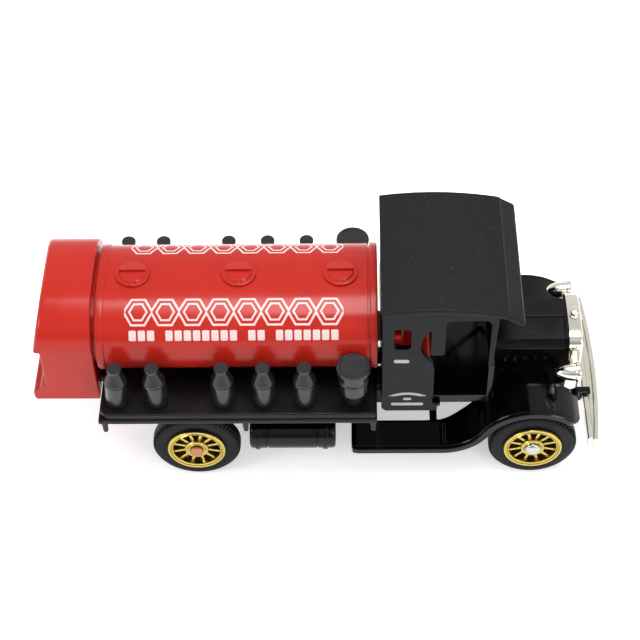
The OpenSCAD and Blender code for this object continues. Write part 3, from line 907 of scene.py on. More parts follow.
@dataclass
class Bonnet:
    """The bonnet, the cowl behind it and the floor that they carry."""

    front_x: float = 49.8
    rear_x: float = 34.4
    louvres: int = 5

    def section(self, x: float, inset: float) -> list[Vector]:
        """One ring across the bonnet, pulled in by an inset.

        Args:
            x: Its place along the truck.
            inset: How far the edge is pulled in.

        Returns:
            The ring's corners.
        """
        right = [(6.5, 14.5), (6.5, 25.85), (6.38, 26.2), (5.75, 27.55), (5.45, 27.86), (0.5, 28.42),
                 (0.34, 28.36), (0.24, 28.5)]
        ring = []
        for y, z in [(-y, z) for y, z in right] + list(reversed(right)):
            pulled = y - math.copysign(min(inset, abs(y)), y)
            ring.append(Vector((x, pulled, z - inset if z > 20 else z)))
        return ring

    def build(self) -> None:
        """Makes the bonnet with its louvres and hinge, and the cowl with its floor."""
        stops = [(self.rear_x, 0.0), (34.9, 0.0), (35.0, 0.1), (35.15, 0.1), (35.25, 0.0), (49.0, 0.0),
                 (49.1, 0.1), (49.25, 0.1), (49.35, 0.0), (self.front_x, 0.0)]
        forms = [Form().loft([self.section(x, inset) for x, inset in stops])]
        for side in Side:
            for i in range(self.louvres):
                x = 36.9 + 1.9 * i
                blade = [(x, -6.4), (x + 1.0, -6.4), (x + 0.85, -6.86), (x + 0.7, -6.9)]
                forms.append(Form().plate(Axis.Z, 22.5, 23.9, blade).soften(0.1, 2).on(side))
            forms.append(Form().bar((35.3, -6.5, 26.1), (49.0, -6.5, 26.1), 0.16, 12, 0.05).on(side))
            for x in (36.6, 47.6):
                forms.append(Form().lathe([(0, 0.55), (0.3, 0.5), (0.42, 0.3), (0.42, 0)], (x, -6.45, 19.8),
                                          Axis.Y, 20, sign=-1).on(side))
        piece("bonnet", forms, [SATIN_BLACK], TRUCK, "black_casting", "hood_cowl")
        self.cowl()

    def cowl(self) -> None:
        """Makes the firewall, rounded at its shoulders, and the cab floor."""
        shoulders = arc((-12.4, 29.5), 1.8, 180, 90, 8) + arc((12.4, 29.5), 1.8, 90, 0, 8)
        wall = [(-14.2, 19)] + shoulders + [(14.2, 19)]
        forms = [Form().plate(Axis.X, 33.2, 34.4, wall).soften(0.25),
                 Form().box((13.6, -14.2, 19), (33.4, 14.2, 21)).soften(0.2),
                 Form().box((14, -6, 12.5), (31, 6, 19.1)).soften(0.3)]
        for side in Side:
            forms.append(Form().bar((34.5, -14.0, 20.2), (34.5, -7.0, 20.2), 0.3, 12).on(side))
        forms.append(Form().box((22.6, -15.3, 18.9), (24.1, 15.3, 19.7)).soften(0.2))
        piece("cowl", forms, [GLOSS_BLACK], TRUCK, "black_casting", "hood_cowl")


@dataclass
class Nose:
    """The chromed radiator with its headlamps, and the bumper."""

    rear_x: float = 49.8
    lamp_y: float = 11.0
    lamp_z: float = 24.2
    bumper_half: float = 19.6
    bow_front_x: float = 57.0
    bow_r: float = 160.0

    def outline(self, half: float, low: float, top: float, radius: float) -> list[Point]:
        """The radiator's front view: square at its foot and rounded at its shoulders.

        Args:
            half: Half of its width.
            low: Height of its foot.
            top: Height of its top at the shoulders.
            radius: Radius of the shoulders.

        Returns:
            Its Y and Z corners.
        """
        bend_y, bend_z = half - radius, top - radius - 0.25
        crown = [(half * 0.45, top), (0.0, top + 0.12), (-half * 0.45, top)]
        return ([(-half, low), (half, low)] + arc((bend_y, bend_z), radius, 0, 80, 8) + crown
                + arc((-bend_y, bend_z), radius, 100, 180, 8))

    def build(self) -> None:
        """Makes the radiator, its core, the lamps and the bumper."""
        outer = self.outline(7.0, 14.0, 29.2, 2.4)
        inner = self.outline(5.5, 15.2, 26.9, 1.3)
        shell = Form().plate(Axis.X, self.rear_x, 52.5, outer, [inner])
        forms = [shell.soften(0.5, 4, where=self.at_front_rim),
                 Form().lathe([(1.15, 0), (1.15, 0.25), (0.8, 0.35), (0.8, 0.85), (0.98, 0.95), (0.98, 1.2),
                               (0.55, 1.42), (0, 1.46)], (51.2, 0, 29.05), steps=32)]
        core = Form().plate(Axis.X, self.rear_x + 0.1, 51.7, self.outline(5.6, 15.0, 27.0, 1.3)).paint(1)
        badge = Form().lathe([(0, 0.4), (0.5, 0.36), (0.66, 0.15), (0.66, -0.3)], (52.4, 0, 28.0), Axis.X, 24)
        piece("radiator", forms + [core, badge], [CHROME, CORE], TRUCK, "chrome_plating",
              "radiator_and_lamps")
        lamps = []
        for side in Side:
            lamps += self.lamp(side)
        piece("headlamps", lamps, [CHROME], TRUCK, "chrome_plating", "radiator_and_lamps")
        self.bumper()

    @staticmethod
    def at_front_rim(point: Vector) -> bool:
        """True on the front rim of the radiator, inside and outside."""
        return point.x > 52.4

    def lamp(self, side: Side) -> list[Form]:
        """Makes one headlamp: bullet shell, rim, domed lens and bracket.

        Args:
            side: Which side of the truck.

        Returns:
            Its forms.
        """
        curve = [math.radians(a) for a in range(9, 91, 9)]
        shell = [(0, -4.95)] + [(1.78 * math.sin(a), -1.15 - 3.8 * math.cos(a)) for a in curve]
        shell += [(1.78, -0.95), (2.0, -0.85), (2.06, -0.6), (2.06, -0.2), (1.98, 0), (1.72, 0.02),
                  (1.62, -0.16)]
        lens = [(1.64, -0.18), (1.3, -0.02), (0.7, 0.12), (0, 0.16)]
        middle = (self.rear_x + 2.0, -self.lamp_y, self.lamp_z)
        stem = (50.7, -self.lamp_y)
        return [Form().lathe(shell + lens, middle, Axis.X, 48).on(side),
                Form().bar((*stem, self.lamp_z - 2.3), (*stem, self.lamp_z - 1.2), 0.55).on(side),
                Form().bar((50.7, -self.lamp_y - 0.2, 22.6), (50.7, -6.6, 22.6), 0.5, 20, 0.15).on(side)]

    def bumper(self) -> None:
        """Makes the straight rear plate, the bowed front band and the web between them."""
        half = self.bumper_half
        low, high = 10.1, 13.0
        forms = [Form().box((53.7, -half + 0.4, low), (54.85, half - 0.4, high)).soften(0.28, 3)]
        middle = (self.bow_front_x - self.bow_r, 0.0)
        swing = math.degrees(math.asin(half / self.bow_r))
        band = arc(middle, self.bow_r, -swing, swing, 28) + arc(middle, self.bow_r - 1.1, swing, -swing, 28)
        forms.append(Form().plate(Axis.Z, low, high, band).soften(0.28, 3, angle=40))
        web = arc(middle, self.bow_r - 0.6, -swing * 0.97, swing * 0.97, 20)
        forms.append(Form().plate(Axis.Z, low + 0.5, high - 0.7,
                                  web + [(54.6, half - 0.5), (54.6, 0.5 - half)]))
        piece("bumper", forms, [CHROME], TRUCK, "chrome_plating", "bumper")


# ---- Cab ----


@dataclass
class Cab:
    """The open-sided cab with its roof, seat and steering wheel."""

    rear_x: float = 12.4
    front_x: float = 34.4
    half: float = 15.4
    wall: float = 1.2
    roof_half: float = 16.0
    roof_top: float = 48.1
    roof_mid_x: float = 22.5
    roof_r: float = 62.0
    roof_t: float = 1.4

    def roof_z(self, x: float) -> float:
        """Height of the roof's top face."""
        return self.roof_top - self.roof_r + math.sqrt(self.roof_r ** 2 - (x - self.roof_mid_x) ** 2)

    def roof_line(self, start: float, end: float, drop: float, steps: int) -> list[Point]:
        """Points a drop below the roof's top face, from one place along the truck to another."""
        stops = [start + (end - start) * i / steps for i in range(steps + 1)]
        return [(x, self.roof_z(x) - drop) for x in stops]

    def build(self) -> None:
        """Makes the shell, the roof, the seat and the steering wheel."""
        self.shell()
        self.roof()
        self.seat()
        self.steering()

    def shell(self) -> None:
        """Makes both sides with their window and curved doorway, the rear wall and the header."""
        outline = [(self.rear_x, 18.4), (13.2, 17.6), (23.5, 17.6), (23.5, 19.4), (22.45, 20.2),
                   (22.45, 31.4)]
        outline += arc((26, 37.2), 6.1, -127, -220, 16)
        outline += [(21.7, 41.5), (21.7, 34.9), (22.1, 34.5), (24.1, 34.5), (24.5, 34.9), (24.6, 43.6),
                    (25.2, 44.3), (32.2, 44.4), (33.1, 43.6), (32.9, 31.3), (33.9, 31.3)]
        outline += self.roof_line(self.front_x, self.rear_x, self.roof_t - 0.02, 10)
        window = [(14.7, 36.8), (15.1, 36.4), (17.5, 36.4), (17.9, 36.8), (17.9, 41.6), (17.5, 42.0),
                  (15.1, 42.0), (14.7, 41.6)]
        bead = arc((-14.6, 33), 0.85, 90, 270, 6) + [(-14.4, 33)]
        forms = []
        for side in Side:
            forms.append(Form().plate(Axis.Y, -self.half, self.wall - self.half, outline, [window])
                         .soften(0.18, 3).on(side))
            forms.append(Form().box((22.0, -self.half - 0.02, 21.5),
                                    (22.6, -14.3, 30.9)).soften(0.12).on(side))
            forms.append(Form().plate(Axis.X, self.rear_x, self.rear_x + 0.9, bead).on(side))
        inside = self.half - self.wall + 0.02
        forms.append(Form().box((self.rear_x, -inside, 18.4), (13.6, inside, self.roof_z(self.rear_x) - 1.35))
                     .soften(0.15))
        forms.append(Form().box((33.3, -inside, 43.6), (34.2, inside, self.roof_z(self.front_x) - 1.35))
                     .soften(0.15))
        piece("cab_shell", forms, [CAB_BLACK], TRUCK, "cab_black", "cab_shell")

    def roof(self) -> None:
        """Makes the arched roof with its front visor."""
        top = self.roof_line(self.rear_x - 0.2, 36.1, 0.0, 16)
        section = self.roof_line(self.rear_x, 35.6, self.roof_t, 12)
        section += [(38.9, 43.2), (39.25, 44.0), (39.0, 44.55), (36.45, self.roof_z(36.45) - 0.35),
                    (36.2, self.roof_z(36.2) - 0.1)]
        section += list(reversed(top)) + [(self.rear_x - 0.2, self.roof_z(self.rear_x) - 0.8)]
        forms = [Form().plate(Axis.Y, -self.roof_half, self.roof_half, section)
                 .soften(0.42, 4, 24, lambda p: abs(abs(p.y) - self.roof_half) < 0.01)]
        piece("cab_roof", forms, [ROOF_BLACK], TRUCK, "roof_black", "cab_roof")

    def seat(self) -> None:
        """Makes the moulded bench with rolled edges."""
        forms = [Form().box((13.8, -13.4, 26.2), (22, 13.4, 30.5)).soften(0.9, 4),
                 Form().box((13.8, -13.4, 29), (16.6, 13.4, 38)).soften(0.9, 4),
                 Form().box((14.4, -12, 21), (21, 12, 26.6)).soften(0.3)]
        piece("bench_seat", forms, [SIGNAL_RED], TRUCK, "seat_red", "seat")

    def steering(self) -> None:
        """Makes the wheel, its spokes and the raked column, cut off at the firewall."""
        rim = [(2.9 + 0.4 * math.cos(math.radians(a)), 9 + 0.4 * math.sin(math.radians(a)))
               for a in range(0, 360, 30)]
        forms = [Form().lathe(rim, (0, 0, 0), Axis.Z, 48, closed=True),
                 Form().lathe([(0, -1.15), (0.5, -1.15), (0.5, 8.4), (0.9, 8.7), (0.9, 9.2), (0, 9.4)],
                              (0, 0, 0), Axis.Z, 24)]
        for i in range(3):
            forms.append(Form().box((0.5, -0.25, 8.85), (2.7, 0.25, 9.2)).soften(0.08)
                         .turn(120 * i, Axis.Z, (0, 0, 0)))
        for form in forms:
            form.turn(-38, Axis.Y, (0, 0, 0))
            bmesh.ops.translate(form.bm, vec=(32.4, 6.5, 25.4), verts=form.bm.verts)
        piece("steering_wheel", forms, [MOULDED_BLACK], TRUCK, "cab_black", "steering_wheel")


# ---- Deck, tank and cabinet ----


@dataclass
class Deck:
    """The flat deck with its raised platform and stake pockets."""

    rear_x: float = -43.3
    front_x: float = 11.5
    half: float = 21.0
    low: float = 20.8
    slab: float = 1.1
    top: float = 23.4

    def build(self) -> None:
        """Makes the slab, the platform and the pockets as one moulding."""
        forms = [Form().box((self.rear_x, -self.half, self.low),
                            (self.front_x, self.half, self.low + self.slab))
                 .soften(0.22, 3)]
        rear, front, side = self.rear_x + 0.3, self.front_x - 0.3, self.half - 0.3
        outline = ([(front, -side), (front, side)] + arc((rear + 2, side - 2), 2, 90, 180, 8)
                   + arc((rear + 2, 2 - side), 2, 180, 270, 8))
        forms.append(Form().plate(Axis.Z, self.low + 0.9, self.top, outline).soften(0.3, 3))
        forms.append(Form().box((-43.8, -10, self.low), (self.rear_x + 0.1, 10, self.top - 0.4)).soften(0.1))
        for hand in Side:
            for x in (-42.2, -14.4, 10.8):
                forms.append(Form().lathe([(0, -2.8), (0.42, -2.8), (0.5, -2.7), (0.68, 0.1), (0, 0.1)],
                                          (x, -20.25, self.low), steps=20).on(hand))
            forms.append(Form().box((-41, -19.2, self.low - 0.7),
                                    (10, -18.2, self.low + 0.1)).soften(0.15).on(hand))
        piece("deck", forms, [MOULDED_BLACK], TRUCK, "deck_black", "deck")


def loaf(half: float, middle: float, up: Point, down: Point, floor: float, steps: int = 96) -> list[Point]:
    """A loaf-shaped section that is cut flat at its floor.

    Args:
        half: Half of its width.
        middle: Height of its widest place.
        up: Rise and squareness above that.
        down: Drop and squareness below it.
        floor: Height of the cut.
        steps: Number of chords.

    Returns:
        The section's Y and Z corners.
    """
    drop, power = down if floor < middle else up
    share = (floor - middle) / drop
    first = math.copysign(math.asin(min(1.0, abs(share) ** (power / 2))), share)
    flat = []
    for i in range(steps + 1):
        a = first + (math.pi - 2 * first) * i / steps
        c, s = math.cos(a), math.sin(a)
        high, power = up if s > 0 else down
        flat.append((math.copysign(half * abs(c) ** (2 / power), c),
                     middle + math.copysign(high * abs(s) ** (2 / power), s)))
    return flat


@dataclass
class Tank:
    """The red tank with a rolled rim at each end and three hatches on its crown."""

    half: float = 13.5
    middle: float = 31.2
    rise: float = 10.3
    crown_power: float = 2.6
    drop: float = 8.4
    belly_power: float = 2.0
    floor: float = 23.4
    hatches: tuple[float, ...] = (-36.2, -15.4, 4.5)

    def ring(self, x: float, grow: float) -> list[Vector]:
        """The tank's section.

        Args:
            x: Its place along the truck.
            grow: How far it is grown.

        Returns:
            The ring's corners.
        """
        crown = (self.rise + grow, self.crown_power)
        belly = (self.drop + grow, self.belly_power)
        return [Vector((x, y, z)) for y, z in loaf(self.half + grow, self.middle, crown, belly, self.floor)]

    def build(self) -> None:
        """Makes the shell with its rims, and the hatches."""
        stops = [(-43.2, -1.6), (-43.2, -0.05), (-43.05, 0.15), (-42.85, 0.2), (-41.7, 0.2), (-41.56, 0.12),
                 (-41.5, 0.0), (-38.0, 0.0), (9.7, 0.0), (9.78, -0.3), (10.2, -0.3), (10.28, 0.1),
                 (10.4, 0.2), (11.4, 0.2), (11.6, 0.1), (11.7, -0.15), (11.7, -1.6)]
        forms = [Form().loft([self.ring(x, grow) for x, grow in stops])]
        for x in self.hatches:
            forms += self.hatch(x)
        piece("tank", forms, [TANK_RED], TRUCK, "tank_red", "tank_shell")

    def hatch(self, x: float) -> list[Form]:
        """Makes one hatch: a collar, a round lid, the wedge over its left half, and a latch.

        Args:
            x: Its place along the truck.

        Returns:
            Its forms.
        """
        crown = self.middle + self.rise
        collar = Form().lathe([(3.42, -2.2), (3.42, 0.3), (3.36, 0.4), (3.22, 0.45), (0, 0.45)],
                              (x, 0, crown), steps=72)
        lid = Form().lathe([(2.64, -2.2), (2.62, 0.5), (2.4, 0.8), (2.2, 0.85), (0, 0.85)], (x, 0, crown),
                           steps=72)
        rim, step, fall = 2.6, 1.4, 0.25
        wedge = Form().plate(Axis.Z, crown - 0.4, crown + step, arc((x, 0), rim, 0, 180, 36)).soften(0.12, 3)
        for corner in wedge.bm.verts:
            if corner.co.z > crown + 0.8:
                corner.co.z -= fall * corner.co.y
        latch = Form().box((x - 0.45, -3.3, crown - 1), (x + 0.45, -2.2, crown + 0.66)).soften(0.14, 2)
        return [collar, lid, wedge, latch]


@dataclass
class Cabinet:
    """The red pump cabinet behind the tank: an arched hood over a body with a stepped foot."""

    front_x: float = -43.8
    crown_x: float = -53.5
    drip_x: float = -55.3
    drip_z: float = 34.3
    half: float = 14.2
    rise: float = 11.7
    power: float = 2.8
    middle: float = 31.2
    body_half: float = 13.3
    foot_z: float = 19.2

    def ring(self, back: float | None, inward: float, grow: float) -> list[Vector]:
        """One arch of the hood.

        Args:
            back: Its place along the truck, or None for the leaning rear face.
            inward: How far in front of that face it stands.
            grow: How far it is grown.

        Returns:
            The ring's corners.
        """
        crown = self.middle + self.rise
        lobe = (self.rise + grow, self.power)
        flat = loaf(self.half + grow, self.middle, lobe, lobe, self.drip_z, 112)
        lean = (self.drip_x - self.crown_x) / (crown - self.drip_z)
        return [Vector((back if back is not None else self.crown_x + inward + (crown - z) * lean, y, z))
                for y, z in flat]

    def build(self) -> None:
        """Makes the hood, the body, its rear panel and the neck to the tank."""
        soft = ((0.0, -1.0), (0.05, -0.62), (0.2, -0.3), (0.42, -0.12), (0.72, -0.02), (1.0, 0.0))
        rings = [self.ring(self.front_x, 0, -0.5), self.ring(self.front_x, 0, -0.12),
                 self.ring(self.front_x - 0.12, 0, 0.0)]
        rings += [self.ring(None, inward, grow) for inward, grow in reversed(soft)]
        forms = [Form().loft(rings).soften(0.34, 4, 60, lambda spot: spot.z < self.drip_z + 0.01)]
        outline = [(self.front_x, self.foot_z), (self.front_x, self.drip_z + 0.5), (-54.3, self.drip_z + 0.5),
                   (-54.15, 25.5), (-54.3, 23.9), (-55.2, 23.4), (-55.5, 22.4), (-56.75, 22.0), (-57, 21.4),
                   (-57, 19.8), (-56.6, self.foot_z)]
        forms.append(Form().plate(Axis.Y, -self.body_half, self.body_half, outline).soften(0.5, 4))
        forms.append(Form().box((-54.42, -11.6, 25.6), (-54.0, 11.6, 32.8)).soften(0.15, 3))
        forms.append(Form().loft([Tank().ring(x, -1.2) for x in (self.front_x - 0.2, -43.1)]))
        piece("rear_cabinet", forms, [SIGNAL_RED], TRUCK, "tank_red", "rear_cabinet")


# ---- Things carried ----


@dataclass
class FuelTank:
    """A round tank hung below the deck on two straps, on one side."""

    side: Side
    y: float = 14.0
    z: float = 9.7
    radius: float = 3.6
    rear_x: float = -14.2
    front_x: float = 3.2
    straps: tuple[float, float] = (-13.1, 0.6)

    def build(self) -> None:
        """Makes the tank, its straps and its cap."""
        long = self.front_x - self.rear_x
        r = self.radius
        profile = [(0, 0.12), (2.3, 0.12), (2.5, 0), (3.1, 0), (3.3, 0.12), (3.52, 0.38), (r, 0.7), (r, 3.4),
                   (r - 0.14, 3.5), (r - 0.14, 3.75), (r, 3.85), (r, long - 3.9), (r - 0.14, long - 3.8),
                   (r - 0.14, long - 3.55), (r, long - 3.45), (r, long - 0.7), (3.52, long - 0.38),
                   (3.3, long - 0.12), (3.1, long), (2.5, long), (2.3, long - 0.12), (0, long - 0.12)]
        forms = [Form().lathe(profile, (self.rear_x, -self.y, self.z), Axis.X, 56).on(self.side)]
        for x in self.straps:
            band = [(r - 0.1, 0), (r + 0.2, 0), (r + 0.27, 0.1), (r + 0.27, 0.9), (r + 0.2, 1), (r - 0.1, 1)]
            forms.append(Form().lathe(band, (x, -self.y, self.z), Axis.X, 56, closed=True).on(self.side))
            forms.append(Form().box((x, 2 - self.y, 9), (x + 1, -6, 11.5)).soften(0.15).on(self.side))
        forms.append(Form().lathe([(0.8, 0), (0.8, 0.5), (0.65, 0.65), (0, 0.68)],
                                  (-5.5, -self.y, self.z + r - 0.1), steps=24).on(self.side))
        name = f"fuel_tank_{self.side.word}"
        piece(name, forms, [GLOSS_BLACK], TRUCK, "black_casting", name)


@dataclass
class Cargo:
    """The oil cans and drums that stand along both edges of the deck."""

    can_x: tuple[float, ...] = (-39.6, -31.7, -18.6, -10.6, -2.6)
    lean: tuple[float, ...] = (2.0, -2.0, 0.0, 0.0, 0.0)
    row: float = 17.1
    drum_x: float = 6.9
    deck_top: float = 23.4

    def build(self) -> None:
        """Makes the ten cans and two drums."""
        for side in Side:
            for number, x in enumerate(self.can_x):
                self.can(side, number, x)
            self.drum(side)

    def can(self, side: Side, number: int, x: float) -> None:
        """Makes one can: body with a ring, coned shoulder, neck and knob.

        Args:
            side: Which side of the truck.
            number: Its number from the rear, from zero.
            x: Its place along the truck.
        """
        profile = [(0, -0.02), (1.95, 0), (2.16, 0.08), (2.24, 0.28), (2.24, 5.88), (2.12, 5.98),
                   (2.12, 6.16), (2.24, 6.26), (2.24, 6.5), (2.18, 6.66), (2.08, 6.82), (1.22, 8.9),
                   (1.15, 9.1), (1.15, 9.26), (1.3, 9.3), (1.42, 9.38), (1.46, 9.5), (1.46, 9.84),
                   (1.41, 9.98), (1.28, 10.07), (0.5, 10.1), (0, 10.1)]
        form = Form().lathe(profile, (x, -self.row, self.deck_top), steps=48)
        form.turn(self.lean[number], Axis.Y, (x, -self.row, self.deck_top)).on(side)
        name = f"can_{side.word}_{number + 1}"
        piece(name, [form], [CARGO_BLACK], TRUCK, "can_black", name)

    def drum(self, side: Side) -> None:
        """Makes one tapered drum with its wide lid and two lugs.

        Args:
            side: Which side of the truck.
        """
        profile = [(0, 0), (1.72, 0), (1.86, 0.12), (2.5, 3.2), (2.74, 3.5), (2.78, 3.7), (2.78, 6.2),
                   (2.92, 6.32), (2.98, 6.5), (2.98, 6.72), (2.92, 6.86), (2.78, 6.98), (2.78, 9.1),
                   (3.2, 9.22), (3.35, 9.4), (3.4, 9.6), (3.4, 9.95), (3.32, 10.2), (3.1, 10.34),
                   (2.7, 10.34), (2.55, 10.22), (0, 10.22)]
        forms = [Form().lathe(profile, (self.drum_x, -self.row, self.deck_top), steps=64).on(side)]
        high = self.deck_top + 8.2
        for x in (self.drum_x - 3.0, self.drum_x + 3.0):
            start, end = (x - 0.2, -self.row, high), (x + 0.2, -self.row, high)
            forms.append(Form().bar(start, end, 0.45, 16, 0.1).on(side))
        name = f"drum_{side.word}"
        piece(name, forms, [CARGO_BLACK], TRUCK, "can_black", name)


# ---- Running gear ----


@dataclass
class Wheel:
    """One gold spoked wheel with its tyre."""

    end: str
    side: Side
    x: float
    radius: float = 8.9
    wide: float = 3.3
    spokes: int = 12
    notches: int = 60

    @property
    def place(self) -> str:
        """The wheel's place as the frame spells it."""
        return f"{self.end}_{self.side.word}"

    def build(self) -> None:
        """Makes the hub, then the tyre."""
        self.hub()
        self.tyre()

    def hub(self) -> None:
        """Makes the hub: rim, tapered spokes, a stepped boss, and the dark disc behind them."""
        t = TRACK
        x, side = self.x, self.side
        middle = (x, 0, AXLE_Z)
        rim = [(4.7, 13.9), (5.6, 13.9), (5.6, 14.4), (5.2, 14.4), (5.2, t + 0.02), (5.86, t + 0.02),
               (5.9, t + 0.12), (5.9, t + 0.5), (5.8, t + 0.66), (5.6, t + 0.72), (5.42, t + 0.66),
               (5.34, t + 0.42), (5.2, t + 0.36), (5.06, t + 0.42), (4.94, t + 0.6), (4.8, t + 0.56),
               (4.7, t + 0.3)]
        boss = [(0.86, 13.5), (1.8, 13.5), (1.8, 16.2), (2.3, 16.3), (2.4, 16.45), (2.4, t + 0.4),
                (2.3, t + 0.55), (2.0, t + 0.6), (1.85, t + 0.5), (1.75, t + 0.68), (0.86, t + 0.68)]
        forms = [Form().lathe(rim, middle, Axis.Y, 72, closed=True, sign=-1).on(side),
                 Form().lathe(boss, middle, Axis.Y, 48, closed=True, sign=-1).on(side)]
        wide, slim = 0.44, 0.34
        for i in range(self.spokes):
            section = [[Vector((x + r, -(t - 1.0), AXLE_Z - w)), Vector((x + r, -(t - 1.0), AXLE_Z + w)),
                        Vector((x + r, -(t - 0.02), AXLE_Z + w * 0.8)),
                        Vector((x + r, -(t + 0.08), AXLE_Z)),
                        Vector((x + r, -(t - 0.02), AXLE_Z - w * 0.8))]
                       for r, w in ((2.1, wide), (3.3, slim), (4.85, slim + 0.04))]
            forms.append(Form().loft(section).turn(360 / self.spokes * (i + 0.5), Axis.Y, middle).on(side))
        forms.append(Form().lathe([(2.2, t - 1.2), (4.8, t - 1.2), (4.8, t - 0.95), (2.2, t - 0.95)], middle,
                                  Axis.Y, 48, closed=True, sign=-1).paint(1).on(side))
        name = f"hub_{self.place}"
        piece(name, forms, [GOLD, GLOSS_BLACK], f"wheel_{self.place}", "gold_plating", name)

    def tyre(self) -> None:
        """Makes the tyre with notches round both shoulders."""
        x = self.x
        out, inn, r = TRACK, TRACK - self.wide, self.radius
        profile = [(5.22, inn), (7.9, inn), (8.3, inn + 0.12), (8.78, inn + 0.62), (8.88, inn + 0.75),
                   (r, inn + 0.95), (r, out - 0.95), (8.88, out - 0.75), (8.78, out - 0.62),
                   (8.3, out - 0.12), (7.9, out), (7.2, out + 0.06), (6.3, out + 0.04), (6.0, out - 0.02),
                   (5.22, out - 0.02)]
        form = Form().lathe(profile, (x, 0, AXLE_Z), Axis.Y, self.notches * 2, closed=True, sign=-1)
        shoulder = []
        for face in form.bm.faces:
            spot = face.calc_center_median()
            away = math.hypot(spot.x - x, spot.z - AXLE_Z)
            turn = math.atan2(spot.z - AXLE_Z, spot.x - x) / math.tau * self.notches * 2
            if 8.4 < away < 8.7 and math.floor(turn) % 2:
                shoulder.append(face)
        bmesh.ops.inset_individual(form.bm, faces=shoulder, thickness=0.04, depth=-0.3, use_even_offset=True)
        name = f"tyre_{self.place}"
        piece(name, [form.on(self.side)], [RUBBER], f"wheel_{self.place}", "tyre_rubber", name)


@dataclass
class Axle:
    """One fixed axle wire, with its two wheels."""

    end: str
    x: float

    def build(self) -> None:
        """Makes the wire with its upset heads, then both wheels."""
        x = self.x
        front = self.end == "front"
        face = TRACK + 0.7
        reach = face + 0.88 if front else face + 0.55
        curve = [math.radians(a) for a in range(20, 91, 14)]
        dome = ([(0, reach)] + [(1.62 * math.sin(a), face + 0.1 + 0.72 * math.cos(a)) for a in curve]
                + [(1.62, face + 0.1), (0.8, face + 0.1)])
        flat = [(0, reach), (1.15, reach), (1.3, reach - 0.1), (1.36, face + 0.35), (1.4, face + 0.1),
                (0.8, face + 0.1)]
        head = dome if front else flat
        forms = [Form().bar((x, -face - 0.3, AXLE_Z), (x, face + 0.3, AXLE_Z), 0.8, 32)]
        for side in Side:
            forms.append(Form().lathe(head, (x, 0, AXLE_Z), Axis.Y, 40, sign=-1).paint(1).on(side))
        name = f"axle_{self.end}"
        piece(name, forms, [STEEL, STEEL if front else COPPERY], TRUCK, "steel", name)
        for side in Side:
            Wheel(self.end, side, x).build()


# ---- Studio ----


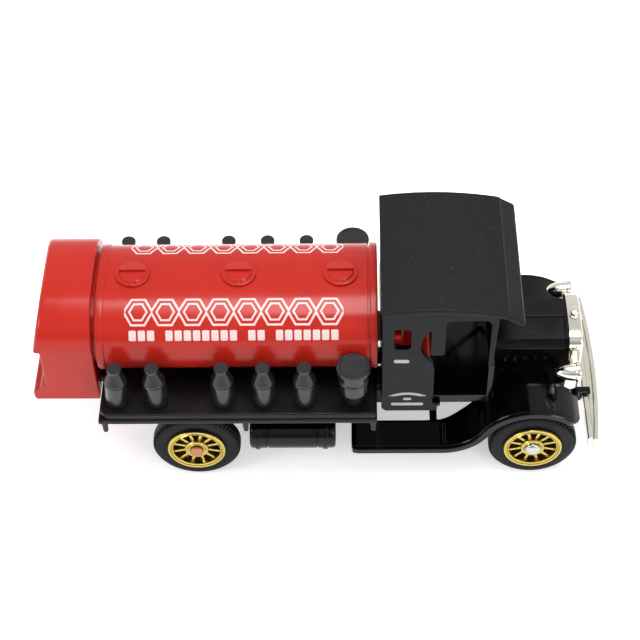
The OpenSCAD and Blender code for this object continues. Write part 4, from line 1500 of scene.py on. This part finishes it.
@dataclass
class Studio:
    """The pale floor, the soft lights and the camera."""

    camera_at: Place = (0.007098, -0.224587, 0.281289)
    yaw: float = -0.03058
    pitch: float = 48.452
    roll: float = 0.02924
    lens: float = 94.62
    floor_glow: float = 0.42

    def build(self) -> None:
        """Sets up everything that isn't the truck."""
        bpy.context.scene.view_settings.view_transform = "Standard"
        self.camera()
        self.floor()
        self.sky()
        self.softbox("light_top", (0.05, 0.02, 0.55), (0, 0, 0), 0.3, 2.6)
        self.softbox("light_front", (0.4, -0.45, 0.3), (0, 0, 0.02), 0.2, 1.0)
        self.softbox("light_left", (-0.5, -0.25, 0.35), (0, 0, 0.02), 0.2, 1.0)

    def camera(self) -> None:
        """Puts the camera where the view is taken from."""
        data = bpy.data.cameras.new("camera")
        data.lens, data.sensor_width = self.lens, 36
        data.clip_start, data.clip_end = 0.01, 20
        camera = bpy.data.objects.new("camera", data)
        pitch = math.radians(self.pitch)
        ahead = Vector((math.sin(self.yaw) * math.cos(pitch), math.cos(self.yaw) * math.cos(pitch),
                        -math.sin(pitch)))
        right = Vector((math.cos(self.yaw), -math.sin(self.yaw), 0))
        down = ahead.cross(right)
        across = math.cos(self.roll) * right + math.sin(self.roll) * down
        below = -math.sin(self.roll) * right + math.cos(self.roll) * down
        turn = Matrix((across, -below, -ahead)).transposed().to_4x4()
        camera.matrix_world = Matrix.Translation(self.camera_at) @ turn
        bpy.context.scene.collection.objects.link(camera)
        bpy.context.scene.camera = camera

    def floor(self) -> None:
        """Lays a wide matt floor."""
        bm = bmesh.new()
        bmesh.ops.create_grid(bm, x_segments=2, y_segments=2, size=3)
        mesh = bpy.data.meshes.new("floor")
        bm.to_mesh(mesh)
        bm.free()
        floor = bpy.data.objects.new("floor", mesh)
        bpy.context.scene.collection.objects.link(floor)
        paper = Finish("paper_sweep_matt", "f4f4f4", "f2f2f2", 0.9, 0.02, grain_mm=2, grain_high_mm=0.0)
        sheet = paper.material()
        shader = next(n for n in sheet.node_tree.nodes if n.type == "BSDF_PRINCIPLED")
        shader.inputs["Emission Color"].default_value = (1, 1, 1, 1)
        shader.inputs["Emission Strength"].default_value = self.floor_glow
        mesh.materials.append(sheet)

    def sky(self) -> None:
        """Makes a bright room that is dimmer overhead and on the side that faces the truck's right."""
        world = bpy.data.worlds.new("studio")
        bpy.context.scene.world = world
        world.use_nodes = True
        tree = world.node_tree
        tree.nodes.clear()
        way = add(tree, "ShaderNodeTexCoord").outputs["Generated"]
        parts = add(tree, "ShaderNodeSeparateXYZ", {}, {0: way}).outputs
        ramp = add(tree, "ShaderNodeValToRGB", {}, {0: parts[2]})
        stops = ((0.0, 1.0), (0.3, 0.95), (0.6, 0.92), (0.85, 0.75), (1.0, 0.7))
        while len(ramp.color_ramp.elements) < len(stops):
            ramp.color_ramp.elements.new(0.5)
        for element, (at, level) in zip(ramp.color_ramp.elements, stops):
            element.position, element.color = at, (level, level, level, 1)
        dim = add(tree, "ShaderNodeMapRange", {1: -0.98, 2: -0.7, 3: 0.4, 4: 0.97}, {0: parts[1]}).outputs[0]
        light = add(tree, "ShaderNodeBackground", {}, {0: ramp.outputs[0], 1: dim})
        add(tree, "ShaderNodeOutputWorld", {}, {0: light.outputs[0]})

    def softbox(self, name: str, at: Place, target: Place, size: float, watts: float) -> None:
        """Adds one square softbox.

        Args:
            name: Its name.
            at: Where it is.
            target: The point it faces.
            size: Length of its sides.
            watts: Its power.
        """
        data = bpy.data.lights.new(name, "AREA")
        data.size, data.energy = size, watts
        lamp = bpy.data.objects.new(name, data)
        lamp.location = at
        lamp.rotation_euler = (Vector(target) - Vector(at)).to_track_quat("-Z", "Y").to_euler()
        bpy.context.scene.collection.objects.link(lamp)


def main() -> None:
    """Builds the truck and its studio."""
    logging.basicConfig(level=logging.INFO, format="%(message)s")
    Studio().build()
    Chassis().build()
    BasePlate().build()
    Bonnet().build()
    Nose().build()
    Cab().build()
    Deck().build()
    Tank().build()
    Cabinet().build()
    for side in Side:
        FuelTank(side).build()
    Cargo().build()
    for end, x in AXLES.items():
        Axle(end, x).build()


if __name__ == "__main__":
    main()
